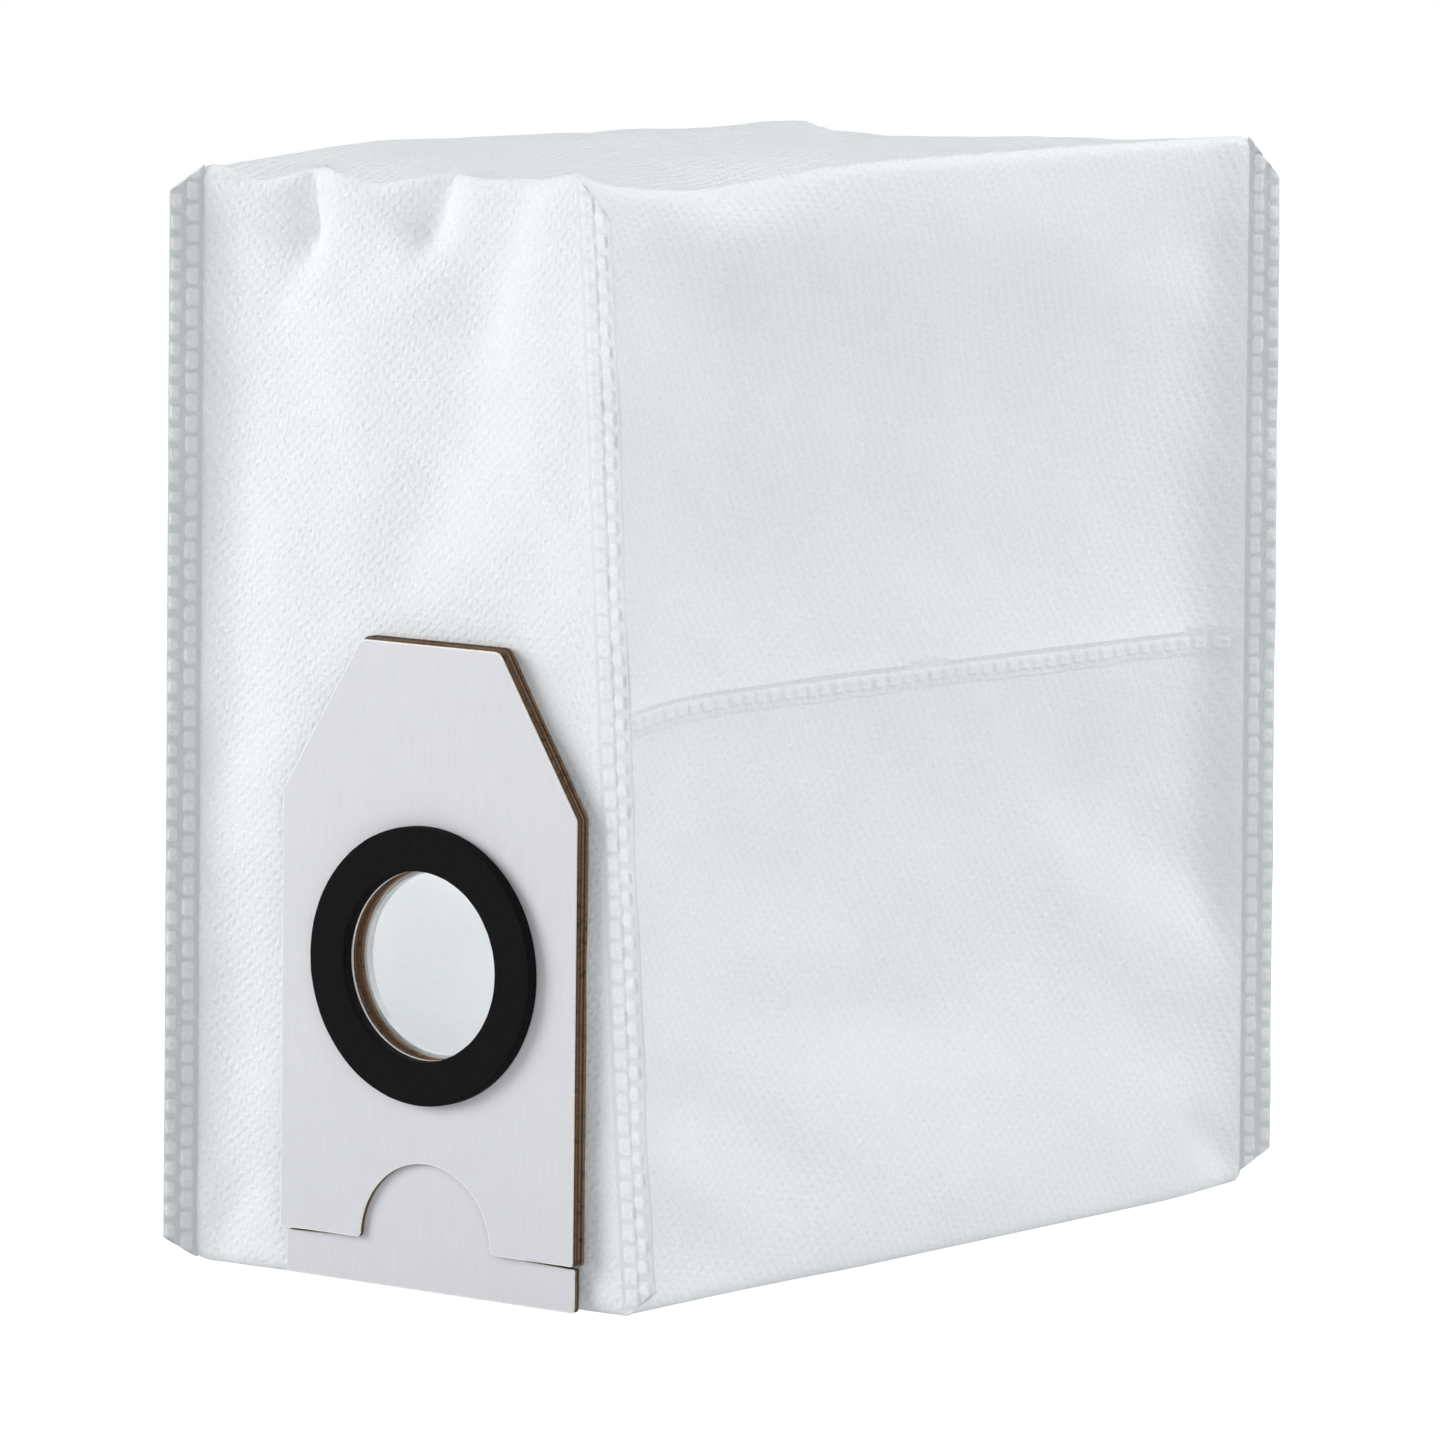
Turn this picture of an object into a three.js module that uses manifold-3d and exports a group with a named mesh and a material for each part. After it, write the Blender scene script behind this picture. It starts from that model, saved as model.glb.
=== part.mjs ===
// Boxed dust bag of bonded fleece, with a three-layer cardboard collar, a foam gasket round the
// inlet, and a T-shaped card slide inside the collar that is pushed down to shut the inlet.
// Millimetres. X runs across the front wall, Y from the front wall to the back, Z up from the floor.
// The origin is the middle of the bag's base.

import * as THREE from 'three';
import { mergeVertices } from 'three/addons/utils/BufferGeometryUtils.js';
import Module from 'manifold-3d';

const wasm = await Module();
wasm.setup();

// Fleece bag
const bagWidth = 114; // front wall at the floor, from crease to crease
const bagDepth = 226;
const bagHeight = 235;
const fleeceWall = 1.2;
const edgeRadius = 4; // soft folds along the top and bottom edges
const nearCornerLean = 11; // the right front corner leans in this far at the top
const farCornerSkirt = 2.4; // the left front corner spreads this far at the floor
const leftSag = 5; // how far the left wall sinks in
const rightSag = 14; // the right wall sinks in most a quarter of the way back
const rightTuck = 0.13; // the share of the depth over which it tucks in behind the near fin
const seamRidge = 2; // how far the side walls are carried out along their seam
const backSag = 4;
const frontSag = 3; // above the collar only, because the board keeps the wall flat behind it
const topCrown = 3.5;
const topDrop = 3.4; // how far the top has sunk behind its diagonal crease
const topDropRun = 6;
const topCreaseLeft = { x: -57, y: 97 }; // where the crease leaves the left edge
const topCreaseRight = { x: 50, y: -25 };
const leftEdgePuff = { at: -53, height: 2.4, reach: 38 }; // the left top edge stands up here

// Hollows in the folded top edges: place along the edge, depth, half length
const frontEdgeHollows = [
  { at: -39, depth: 4, reach: 11 },
  { at: -3, depth: 3.4, reach: 13 },
  { at: 28, depth: 1.2, reach: 10 },
];
const rightEdgeHollow = { at: -66, depth: 3, reach: 28 };
const hollowFade = 13; // how quickly a hollow runs out down the wall and over the top

// Corner fins, where two walls are pinched and welded
const finWidth = 8;
const finThickness = 0.8;
const finEndChamfer = 7.2;
const finRoot = 0.9; // how far a fin reaches into the corner that carries it
const padPitch = 4.5;
const innerPad = { width: 2.4, height: 3.7, fromCrease: 2.1 };
const outerPad = { width: 1.9, height: 2.8, fromCrease: 5.9 };
const padProud = 0.35;

// Side and back seams, folded down flat against the walls
const seamHeight = 127; // top of the folded seam above the floor
const seamDrop = 4.3;
const seamThickness = 0.9;
const seamEndGap = 2.5;

// Collar
const collarWidth = 78.5;
const collarTopWidth = 37;
const collarBottom = 10.5; // above the floor
const shoulderHeight = 104;
const collarHeight = 136.4;
const collarCentre = 8; // off the middle of the front wall
const frontBoardThickness = 1.2;
const slideThickness = 1.6;
const backBoardThickness = 0.6;
const topCornerRadius = 4;
const shoulderRadius = 2;
const layerGap = 0.3; // between glued layers, and the running clearance of the slide

// Inlet and gasket
const inletRadius = 20;
const inletHeight = 70;
const gasketRadius = 29.4;
const gasketThickness = 2.5;
const gasketEdge = 0.4;

// Closing slide
const slideBarWidth = 77.4;
const slideBarHeight = 9.7;
const slideNeckWidth = 51;
const slideHoleRadius = 21.5;
const spacerTopRim = 2.1; // card left above the slide
const slideRim = 3; // card left beside the slide along the collar's slanted sides
const thumbNotchRadius = 17.4;

const roundSegments = 24; // in half a circle
const cornerSegments = 4;

const fleece = { colour: 0xe6eaec, roughness: 0.75 };
const whiteLinedCard = { colour: 0xd8d8dd, roughness: 0.8 };
const brownCard = { colour: 0x9c7f60, roughness: 0.9 };
const blackFoam = { colour: 0x161616, roughness: 0.95 };

const frontWallY = -bagDepth / 2;
const backBoardFaceY = frontWallY - layerGap - backBoardThickness;
const slideFaceY = backBoardFaceY - layerGap - slideThickness;
const frontBoardFaceY = slideFaceY - layerGap - frontBoardThickness;
const slideTop = collarHeight - spacerTopRim - layerGap;
const clamp01 = (value) => Math.min(1, Math.max(0, value));
const bump = (value, centre, reach) => Math.exp(-(((value - centre) / reach) ** 2));

// The solid of a closed geometry.
function solidOf(geometry) {
  const bare = geometry.clone();
  bare.deleteAttribute('normal');
  bare.deleteAttribute('uv');
  const merged = mergeVertices(bare, 1e-4);
  return new wasm.Manifold(new wasm.Mesh({
    numProp: 3,
    vertProperties: merged.attributes.position.array,
    triVerts: new Uint32Array(merged.index.array),
  }));
}

// The geometry of a solid.
function geometryOf(solid) {
  const mesh = solid.getMesh();
  const geometry = new THREE.BufferGeometry();
  geometry.setAttribute('position', new THREE.BufferAttribute(mesh.vertProperties, 3));
  geometry.setIndex(new THREE.BufferAttribute(mesh.triVerts, 1));
  return geometry;
}

// How far a point lies behind the crease across the top, seen from above; 0 in front of it.
function pastTopCrease(x, y) {
  const runX = topCreaseRight.x - topCreaseLeft.x;
  const runY = topCreaseRight.y - topCreaseLeft.y;
  const across = runX * (y - topCreaseLeft.y) - runY * (x - topCreaseLeft.x);
  return Math.max(0, across / Math.hypot(runX, runY));
}

// How the slack fleece departs from a true box: leaning corners, sunk walls, hollows in the edges.
function drape(x, y, z) {
  const across = Math.min(1, Math.max(-1, x / (bagWidth / 2)));
  const along = Math.min(1, Math.max(-1, y / (bagDepth / 2)));
  const up = clamp01(z / bagHeight);
  const right = (1 + across) / 2;
  const front = (1 - along) / 2;
  const back = 1 - front;
  const midSide = 1 - along ** 2;
  const midHeight = 4 * up * (1 - up);
  const overCollar = clamp01((z - collarHeight) / (bagHeight - collarHeight));
  const topEdge = Math.exp(-Math.max(0, bagHeight - z) / hollowFade);
  const frontEdge = topEdge * Math.exp(-Math.max(0, y - frontWallY) / hollowFade);
  const rightEdge = topEdge * Math.exp(-Math.max(0, bagWidth / 2 - x) / hollowFade);

  let dx = -nearCornerLean * up * right * front;
  dx -= farCornerSkirt * (1 - up) * (1 - right) * front;
  const ridge = midSide * seamRidge * bump(z, seamHeight, seamDrop * 4);
  const tucked = (1 - Math.exp(-back / rightTuck)) * (1 - back ** 3);
  dx -= Math.max(0, across) * (rightSag * tucked * midHeight - ridge);
  dx += Math.max(0, -across) * (leftSag * midSide * midHeight - ridge);
  let dy = frontSag * (1 - across ** 2) * front ** 4 * 4 * overCollar * (1 - overCollar);
  dy -= backSag * (1 - across ** 2) * back ** 4 * midHeight;
  let lift = topCrown * (1 - across ** 2) * midSide;
  lift += leftEdgePuff.height * bump(y, leftEdgePuff.at, leftEdgePuff.reach) * (1 - right) ** 3;
  lift -= topDrop * (1 - Math.exp(-pastTopCrease(x, y) / topDropRun)) * (1 - right ** 2);
  let dz = lift * up ** 12;
  for (const hollow of frontEdgeHollows) {
    const sunk = hollow.depth * bump(x, hollow.at, hollow.reach) * frontEdge;
    dy += sunk;
    dz -= sunk;
  }
  const sunk = rightEdgeHollow.depth * rightEdge * bump(y, rightEdgeHollow.at, rightEdgeHollow.reach);
  dx -= sunk;
  dz -= sunk;
  return [x + dx, y + dy, z + dz];
}

function drapeGeometry(geometry) {
  const position = geometry.attributes.position;
  for (let i = 0; i < position.count; i += 1) {
    position.setXYZ(i, ...drape(position.getX(i), position.getY(i), position.getZ(i)));
  }
  return geometry;
}

// Places of the grid lines along one side of the bag: close together over the soft folds.
function gridLines(low, high, radius, shares) {
  const near = 0.42 * radius;
  const inner = shares.map((share) => low + radius + share * (high - low - 2 * radius));
  return [low, low + near, low + radius, ...inner, high - radius, high - near, high];
}

const widthShares = [0.14, 0.28, 0.43, 0.57, 0.71, 0.86];
const depthShares = [0.05, 0.12, 0.21, 0.34, 0.52, 0.7, 0.86];
const heightShares = [0.18, 0.36, 0.535, 0.7, 0.84, 0.94];

// A draped box, drawn in by inset from the outside of the fleece, with soft horizontal edges.
function drapedBox(inset) {
  const radius = edgeRadius - inset;
  const half = [bagWidth / 2 - inset, bagDepth / 2 - inset];
  const lines = [
    gridLines(-half[0], half[0], radius, widthShares),
    gridLines(-half[1], half[1], radius, depthShares),
    gridLines(inset, bagHeight - inset, radius, heightShares),
  ];
  const counts = lines.map((line) => line.length - 1);
  const geometry = new THREE.BoxGeometry(1, 1, 1, ...counts);
  const position = geometry.attributes.position;
  const lineAt = (axis, share) => lines[axis][Math.round((share + 0.5) * counts[axis])];
  for (let i = 0; i < position.count; i += 1) {
    const x = lineAt(0, position.getX(i));
    const y = lineAt(1, position.getY(i));
    const z = lineAt(2, position.getZ(i));
    const fromSide = half[0] - Math.abs(x);
    const fromFront = half[1] - Math.abs(y);
    const fromWall = Math.min(fromSide, fromFront);
    const fromEnd = Math.min(z - inset, bagHeight - inset - z);
    let newFromWall = fromWall;
    let newFromEnd = fromEnd;
    if (fromWall < radius && fromEnd < radius) {
      const stretch = radius / Math.hypot(radius - fromWall, radius - fromEnd);
      newFromWall = radius - (radius - fromWall) * stretch;
      newFromEnd = radius - (radius - fromEnd) * stretch;
    }
    const newX = fromSide === fromWall ? Math.sign(x) * (half[0] - newFromWall) : x;
    const newY = fromFront === fromWall ? Math.sign(y) * (half[1] - newFromWall) : y;
    const newZ = z < bagHeight / 2 ? inset + newFromEnd : bagHeight - inset - newFromEnd;
    position.setXYZ(i, newX, newY, newZ);
  }
  return solidOf(drapeGeometry(geometry));
}

// A welded fin with two staggered rows of pads. It is drawn along +X, with its pads on the -Y face
// for padSide 1 and on the +Y face for padSide -1, then turned and moved to its corner.
function weldedFin(cornerX, cornerY, turn, padSide) {
  const lowest = edgeRadius / 2;
  const highest = bagHeight - edgeRadius / 2;
  const outline = new THREE.Shape();
  outline.moveTo(-finRoot, lowest);
  outline.lineTo(0, lowest);
  outline.lineTo(finWidth, lowest + finEndChamfer);
  outline.lineTo(finWidth, highest - finEndChamfer);
  outline.lineTo(0, highest);
  outline.lineTo(-finRoot, highest);
  outline.closePath();
  const plate = new THREE.ExtrudeGeometry(outline, { depth: finThickness, bevelEnabled: false });
  plate.rotateX(Math.PI / 2).translate(0, finThickness / 2, 0);
  const blocks = [plate];
  const padDepth = finThickness / 2 + padProud;
  [innerPad, outerPad].forEach((pad, row) => {
    const endGap = pad.fromCrease + pad.width / 2 + pad.height / 2;
    const start = lowest + endGap + (row * padPitch) / 2;
    const count = Math.floor((highest - endGap - start) / padPitch) + 1;
    for (let i = 0; i < count; i += 1) {
      const block = new THREE.BoxGeometry(pad.width, padDepth, pad.height);
      blocks.push(block.translate(pad.fromCrease, (-padSide * padDepth) / 2, start + i * padPitch));
    }
  });
  const placed = blocks.map((block) => {
    block.rotateZ(turn).translate(cornerX, cornerY, 0);
    return solidOf(drapeGeometry(block));
  });
  return placed.reduce((fin, block) => fin.add(block));
}

// A folded seam on one wall, drawn for the wall that faces along turn.
function foldedSeam(wallDistance, wallLength, turn) {
  const sunk = fleeceWall / 2;
  const strip = new THREE.BoxGeometry(seamThickness + sunk, wallLength - 2 * seamEndGap, seamDrop, 1, 20, 1);
  strip.translate(wallDistance + (seamThickness - sunk) / 2, 0, seamHeight - seamDrop / 2);
  strip.rotateZ(turn);
  return solidOf(drapeGeometry(strip));
}

// A bar along Y through the inlet.
function inletCutter(radius, length) {
  const bar = new THREE.CylinderGeometry(radius, radius, length, 2 * roundSegments);
  bar.translate(collarCentre, frontWallY, inletHeight);
  return solidOf(bar);
}

function fleeceBag() {
  const halfWidth = bagWidth / 2;
  const halfDepth = bagDepth / 2;
  const flatFinY = frontWallY + finThickness / 2 + 0.2; // the near fin lies just behind the front face
  const parts = [
    weldedFin(halfWidth, flatFinY, 0, 1),
    weldedFin(-halfWidth, -halfDepth, (5 * Math.PI) / 4, -1),
    weldedFin(halfWidth, halfDepth, Math.PI / 4, 1),
    weldedFin(-halfWidth, halfDepth, (3 * Math.PI) / 4, 1),
    foldedSeam(halfWidth, bagDepth, 0),
    foldedSeam(halfWidth, bagDepth, Math.PI),
    foldedSeam(halfDepth, bagWidth, Math.PI / 2),
  ];
  const outside = parts.reduce((bag, part) => bag.add(part), drapedBox(0));
  return outside.subtract(drapedBox(fleeceWall)).subtract(inletCutter(inletRadius, 6 * fleeceWall));
}

// The points of an outline through the corners, each given as [x, z, radius].
function outlinePoints(corners) {
  return corners.flatMap(([x, z, radius = 0], i) => {
    const corner = new THREE.Vector2(x, z);
    if (radius === 0) return [corner];
    const [beforeX, beforeZ] = corners[(i + corners.length - 1) % corners.length];
    const [afterX, afterZ] = corners[(i + 1) % corners.length];
    const toBefore = new THREE.Vector2(beforeX - x, beforeZ - z).normalize();
    const toAfter = new THREE.Vector2(afterX - x, afterZ - z).normalize();
    const reach = radius / Math.tan(Math.acos(toBefore.dot(toAfter)) / 2);
    const start = corner.clone().addScaledVector(toBefore, reach);
    const end = corner.clone().addScaledVector(toAfter, reach);
    return new THREE.QuadraticBezierCurve(start, corner, end).getPoints(cornerSegments);
  });
}

const cardOutline = (corners) => new THREE.Shape(outlinePoints(corners));

// The collar's slanted side, moved in by inset: where it meets a height or a distance from centre.
function slantedSide(inset) {
  const run = (collarWidth - collarTopWidth) / 2;
  const rise = collarHeight - shoulderHeight;
  const length = Math.hypot(run, rise);
  const level = (rise * collarWidth) / 2 + run * shoulderHeight - inset * length;
  return {
    heightAt: (x) => (level - rise * x) / run,
    distanceAt: (z) => (level - run * z) / rise,
  };
}

const halfCollar = collarWidth / 2;
const halfTop = collarTopWidth / 2;
const upperCorners = [
  [halfCollar, shoulderHeight, shoulderRadius],
  [halfTop, collarHeight, topCornerRadius],
  [-halfTop, collarHeight, topCornerRadius],
  [-halfCollar, shoulderHeight, shoulderRadius],
];

function addRoundHole(shape, radius) {
  const hole = new THREE.Path();
  hole.absarc(0, inletHeight, radius, 0, 2 * Math.PI, false);
  shape.holes.push(hole);
  return shape;
}

// A card cut to a shape in the XZ plane, with its front at faceY.
function card(shape, faceY, thickness) {
  const options = { depth: thickness, bevelEnabled: false, curveSegments: roundSegments };
  const geometry = new THREE.ExtrudeGeometry(shape, options);
  return geometry.rotateX(Math.PI / 2).translate(collarCentre, faceY + thickness, 0);
}

function frontBoard() {
  const shape = new THREE.Shape();
  shape.moveTo(-halfCollar, collarBottom);
  shape.lineTo(-thumbNotchRadius, collarBottom);
  shape.absarc(0, collarBottom, thumbNotchRadius, Math.PI, 0, true);
  const corners = [[halfCollar, collarBottom], ...upperCorners, [-halfCollar, collarBottom]];
  outlinePoints(corners).forEach((point) => shape.lineTo(point.x, point.y));
  return card(addRoundHole(shape, inletRadius), frontBoardFaceY, frontBoardThickness);
}

function backBoard() {
  const corners = [[-halfCollar, collarBottom], [halfCollar, collarBottom], ...upperCorners];
  return card(addRoundHole(cardOutline(corners), inletRadius), backBoardFaceY, backBoardThickness);
}

const slideBarTop = collarBottom - layerGap;
const neckHalf = slideNeckWidth / 2;

function spacerFrame() {
  const inside = slantedSide(slideRim);
  const innerHalf = neckHalf + layerGap;
  const innerTop = slideTop + layerGap;
  return card(cardOutline([
    [innerHalf, collarBottom],
    [halfCollar, collarBottom],
    ...upperCorners,
    [-halfCollar, collarBottom],
    [-innerHalf, collarBottom],
    [-innerHalf, inside.heightAt(innerHalf)],
    [-inside.distanceAt(innerTop), innerTop],
    [inside.distanceAt(innerTop), innerTop],
    [innerHalf, inside.heightAt(innerHalf)],
  ]), slideFaceY, slideThickness);
}

function closingSlide() {
  const side = slantedSide(slideRim + layerGap);
  const halfBar = slideBarWidth / 2;
  const barBottom = slideBarTop - slideBarHeight;
  const shape = cardOutline([
    [-halfBar, barBottom],
    [halfBar, barBottom],
    [halfBar, slideBarTop],
    [neckHalf, slideBarTop],
    [neckHalf, side.heightAt(neckHalf)],
    [side.distanceAt(slideTop), slideTop],
    [-side.distanceAt(slideTop), slideTop],
    [-neckHalf, side.heightAt(neckHalf)],
    [-neckHalf, slideBarTop],
    [-halfBar, slideBarTop],
  ]);
  return card(addRoundHole(shape, slideHoleRadius), slideFaceY, slideThickness);
}

function foamGasket() {
  const profile = [
    [inletRadius, 0],
    [gasketRadius, 0],
    [gasketRadius, -gasketThickness + gasketEdge],
    [gasketRadius - gasketEdge, -gasketThickness],
    [inletRadius + gasketEdge, -gasketThickness],
    [inletRadius, -gasketThickness + gasketEdge],
    [inletRadius, 0],
  ].map(([radius, y]) => new THREE.Vector2(radius, y));
  const ring = new THREE.LatheGeometry(profile.reverse(), 2 * roundSegments);
  return ring.translate(collarCentre, frontBoardFaceY - layerGap, inletHeight);
}

function piece(name, geometry, look) {
  const material = new THREE.MeshStandardMaterial({
    color: look.colour,
    roughness: look.roughness,
    metalness: 0,
  });
  const mesh = new THREE.Mesh(geometry, material);
  mesh.name = name;
  return mesh;
}

const dustBag = new THREE.Group();
dustBag.add(
  piece('fleece_bag', geometryOf(fleeceBag()), fleece),
  piece('collar_back_board', backBoard(), brownCard),
  piece('collar_spacer_frame', spacerFrame(), brownCard),
  piece('closing_slide', closingSlide(), whiteLinedCard),
  piece('collar_front_board', frontBoard(), whiteLinedCard),
  piece('foam_gasket', foamGasket(), blackFoam),
);

export default dustBag;
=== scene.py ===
"""Boxed dust bag of bonded fleece, with welded corner fins, folded side seams and a card collar.

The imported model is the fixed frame, and gives the collar, the slide and the gasket their places.
Each operator builds one piece or one group of like pieces, in metres, and main() runs them all.
"""

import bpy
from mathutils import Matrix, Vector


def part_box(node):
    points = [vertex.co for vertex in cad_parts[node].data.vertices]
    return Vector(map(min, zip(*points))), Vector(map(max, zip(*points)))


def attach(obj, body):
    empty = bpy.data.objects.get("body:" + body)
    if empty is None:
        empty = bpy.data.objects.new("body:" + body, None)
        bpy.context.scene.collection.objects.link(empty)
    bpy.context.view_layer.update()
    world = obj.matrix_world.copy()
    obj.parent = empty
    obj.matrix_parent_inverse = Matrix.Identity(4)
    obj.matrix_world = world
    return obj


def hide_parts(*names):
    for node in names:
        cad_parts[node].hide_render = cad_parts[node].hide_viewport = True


bl_info = {
    "name": "Fleece Dust Bag",
    "version": (1, 0, 0),
    "blender": (4, 5, 0),
    "location": "3D View > Sidebar > Dust Bag",
    "description": "Builds a boxed fleece dust bag with a card collar and a foam gasket",
    "category": "Add Mesh",
}

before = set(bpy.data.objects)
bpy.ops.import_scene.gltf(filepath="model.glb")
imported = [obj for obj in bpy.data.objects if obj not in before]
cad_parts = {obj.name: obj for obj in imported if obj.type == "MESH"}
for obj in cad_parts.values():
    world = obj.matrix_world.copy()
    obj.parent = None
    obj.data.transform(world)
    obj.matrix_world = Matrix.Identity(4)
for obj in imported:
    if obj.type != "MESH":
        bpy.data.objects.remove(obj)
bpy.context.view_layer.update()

import math

import bmesh
import bpy
import numpy as np
from bpy.props import FloatProperty, FloatVectorProperty, PointerProperty
from bpy.types import Operator, Panel, PropertyGroup
from mathutils import Matrix, Vector, noise
from mathutils.geometry import tessellate_polygon

MM = 0.001
FRONT, BACK, LEFT, RIGHT, TOP, BASE = "front", "back", "left", "right", "top", "base"

# Hollows in the folded top edges: place along the edge, depth, half length
FRONT_EDGE_HOLLOWS = (
    (-42 * MM, 3.8 * MM, 11 * MM),
    (-7 * MM, 3.2 * MM, 12 * MM),
    (28 * MM, 1.0 * MM, 10 * MM),
)
RIGHT_EDGE_HOLLOW = (-70 * MM, 4.6 * MM, 32 * MM)
HOLLOW_FADE = 13 * MM  # how quickly a hollow fades away from its edge
HOLLOW_PUSH = 0.12  # share of a hollow's depth by which it also pushes the front wall in

NEAR_PEAK = (2.3 * MM, 9 * MM)  # how high the near top corner stands up, and how far round it
EDGE_RIDGE = (0.7 * MM, 1.3 * MM)  # how high the top's front and right edges are pinched, how wide
TOP_POWER = 12  # power of the height with which the top's shape fades down the walls
END_POWER = 4  # power with which the sag of the front and the back fades away from them
REAR_POWER = 3  # power with which the right wall's sag ends at its rear corner
PUFF_POWER = 3  # power with which the left top edge's puff fades across the top

# The top's diagonal crease, from its rear left to its right edge, and how quickly it sinks past it
TOP_CREASE = ((-57 * MM, 97 * MM), (50 * MM, -25 * MM))
TOP_DROP_RUN = 6 * MM
LEFT_EDGE_PUFF = (-53 * MM, 2.4 * MM, 38 * MM)  # place along the edge, height, half length
LEAN_BOW = 0.88  # below 1, the near corner leans in faster near the floor
NEAR_FIN_HOLD = 1.6  # how much less the right wall sinks in near the ends of the near fin
RIGHT_TUCK = 0.13  # share of the depth over which the right wall tucks in behind the near fin
RIDGE_REACH = 4  # how far the walls' ridge along a seam reaches, in heights of the seam's flap

RIGHT_FOOT_TUCK = 5 * MM  # how far the right wall is drawn in above its bottom edge
FOOT_RUN = 22 * MM  # over what height it is drawn in
FOOT_FADE = 88 * MM  # over what height it comes out again
CORNER_HOLD = 5 * MM  # how near a weld the walls lie still

SEAM_LINE = 125.2 * MM  # where the walls step in under the folded seams
SEAM_TOP_DROP = 0.9 * MM  # how far a seam's flap starts below that line
SEAM_DROOP = (6 * MM, 17 * MM)  # how far the right seam sinks at the near corner, over what run
DROOP_REACH = 22 * MM  # how far above and below a seam the wall follows its droop
SEAM_LIP = (1.2 * MM, 4 * MM)  # how far a wall comes out just above its seam, over what height
SEAM_DIP = (0.2 * MM, 9 * MM)  # how far it sinks in just below its seam, over what height

# Soft wrinkles, in mm: wall, start and end on it, how far they stand out, and how far they reach to
# the left and to the right of the line seen from its start
WRINKLES = (
    (FRONT, (42, 240), (24, 205), -2.3, 7, 14),
    (FRONT, (42, 190), (30, 150), 0.6, 10, 10),
    (FRONT, (4, 221), (-13, 209), 0.3, 1.2, 1.2),
    (FRONT, (-12, 196), (-34, 164), 0.6, 11, 13),
    (FRONT, (-34, 160), (-40, 90), 0.7, 11, 13),
    (FRONT, (16, 178), (0, 150), -1.2, 12, 10),
    (FRONT, (-45, 16), (-52, 6), -0.9, 5, 5),
    (RIGHT, (-100, 232), (-66, 200), -1.6, 12, 16),
    (RIGHT, (-10, 238), (6, 190), 4.0, 50, 60),
    (RIGHT, (-56, 240), (96, 240), -3.0, 12, 14),
    (RIGHT, (-84, 206), (30, 194), -2.2, 19, 20),
    (RIGHT, (30, 212), (84, 206), 0.9, 12, 12),
    (RIGHT, (-54, 190), (27, 176), -1.1, 15, 15),
    (RIGHT, (-74, 160), (60, 164), -3.6, 36, 34),
    (RIGHT, (-64, 58), (18, 46), -1.1, 10, 9),
    (RIGHT, (-20, 40), (50, 28), 1.0, 10, 12),
    (RIGHT, (-30, 18), (80, 14), 4.6, 21, 20),
    (RIGHT, (62, 92), (122, 62), -1.8, 11, 10),
    (RIGHT, (60, 70), (112, 44), 1.2, 11, 12),
    (RIGHT, (-84, 40), (-36, 18), -1.0, 9, 9),
    (RIGHT, (-88, 28), (-60, 8), 0.8, 8, 8),
    (RIGHT, (96, 14), (113, 4), -1.6, 5, 5),
    (TOP, (-40, -90), (-10, -20), -0.8, 12, 12),
)

# Sharper creases in the same terms: valleys with straight flanks and a narrow bottom
CREASES = (
    (FRONT, (-26, 239), (-28, 222), -5.6, 3.6, 9),
    (FRONT, (-27, 222), (-36, 206), -0.9, 4, 9),
    (FRONT, (17, 237), (9, 225), -5.2, 4.2, 9.5),
    (FRONT, (9, 225), (-12, 211), -0.9, 4, 9),
)
CREASE_FLOOR = 1 * MM  # how wide a crease's rounded bottom is

# Slow waves of slack fleece: direction in radians, pitch and height in mm
WAVES = ((0.5, 61, 0.34), (1.9, 47, 0.26), (2.8, 33, 0.17), (1.2, 21, 0.09))
WAVE_TURN = 0.7  # how much further the waves are turned on each next wall, in radians
WAVE_CROSS = 1.7  # pitch of a wave's own sideways sway, in pitches of the wave
WAVE_SWAY = 1.3  # how far it sways, in radians of the wave
WAVE_START = 12 * MM  # how far from a wall's level edges the waves reach their full height

# Where walls are tucked in beside a fin: wall, side, depth, run from the corner and fade, in mm
TUCKS = (
    (FRONT, -1, 4.0, 8, 18),
    (RIGHT, 1, 7.0, 9, 38),
    (LEFT, -1, 2.0, 5, 30),
    (LEFT, 1, 2.0, 6, 30),
    (BACK, -1, 2.0, 6, 25),
    (BACK, 1, 2.0, 6, 25),
)
TUCK_POWER = 1.5  # power with which a tuck deepens away from its corner
TUCK_START = 50 * MM  # over what height a tuck begins above its foot
TUCK_END = 25 * MM  # over what height it ends below the top edge
REAR_TUCK_FOOT = 45 * MM  # height at which the right wall's tuck beside its rear fin begins


def length(name, description, default_mm):
    """A length that a user sets, with its default in millimetres."""
    return FloatProperty(
        name=name,
        description=description,
        default=default_mm * MM,
        min=0,
        unit="LENGTH",
        precision=5,
    )


def share(name, description, default, high=1.0):
    """A plain factor from 0 to high."""
    return FloatProperty(
        name=name, description=description, default=default, min=0, max=high, subtype="FACTOR"
    )


def angle(name, description, default_degrees):
    """An angle, with its default in degrees."""
    return FloatProperty(
        name=name, description=description, default=math.radians(default_degrees), subtype="ANGLE"
    )


def power(name, description, default):
    """A lamp's power in watts."""
    return FloatProperty(name=name, description=description, default=default, unit="POWER")


def colour(name, description, default):
    """A linear colour."""
    return FloatVectorProperty(
        name=name, description=description, default=default, size=3, min=0, max=1, subtype="COLOR"
    )


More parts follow.
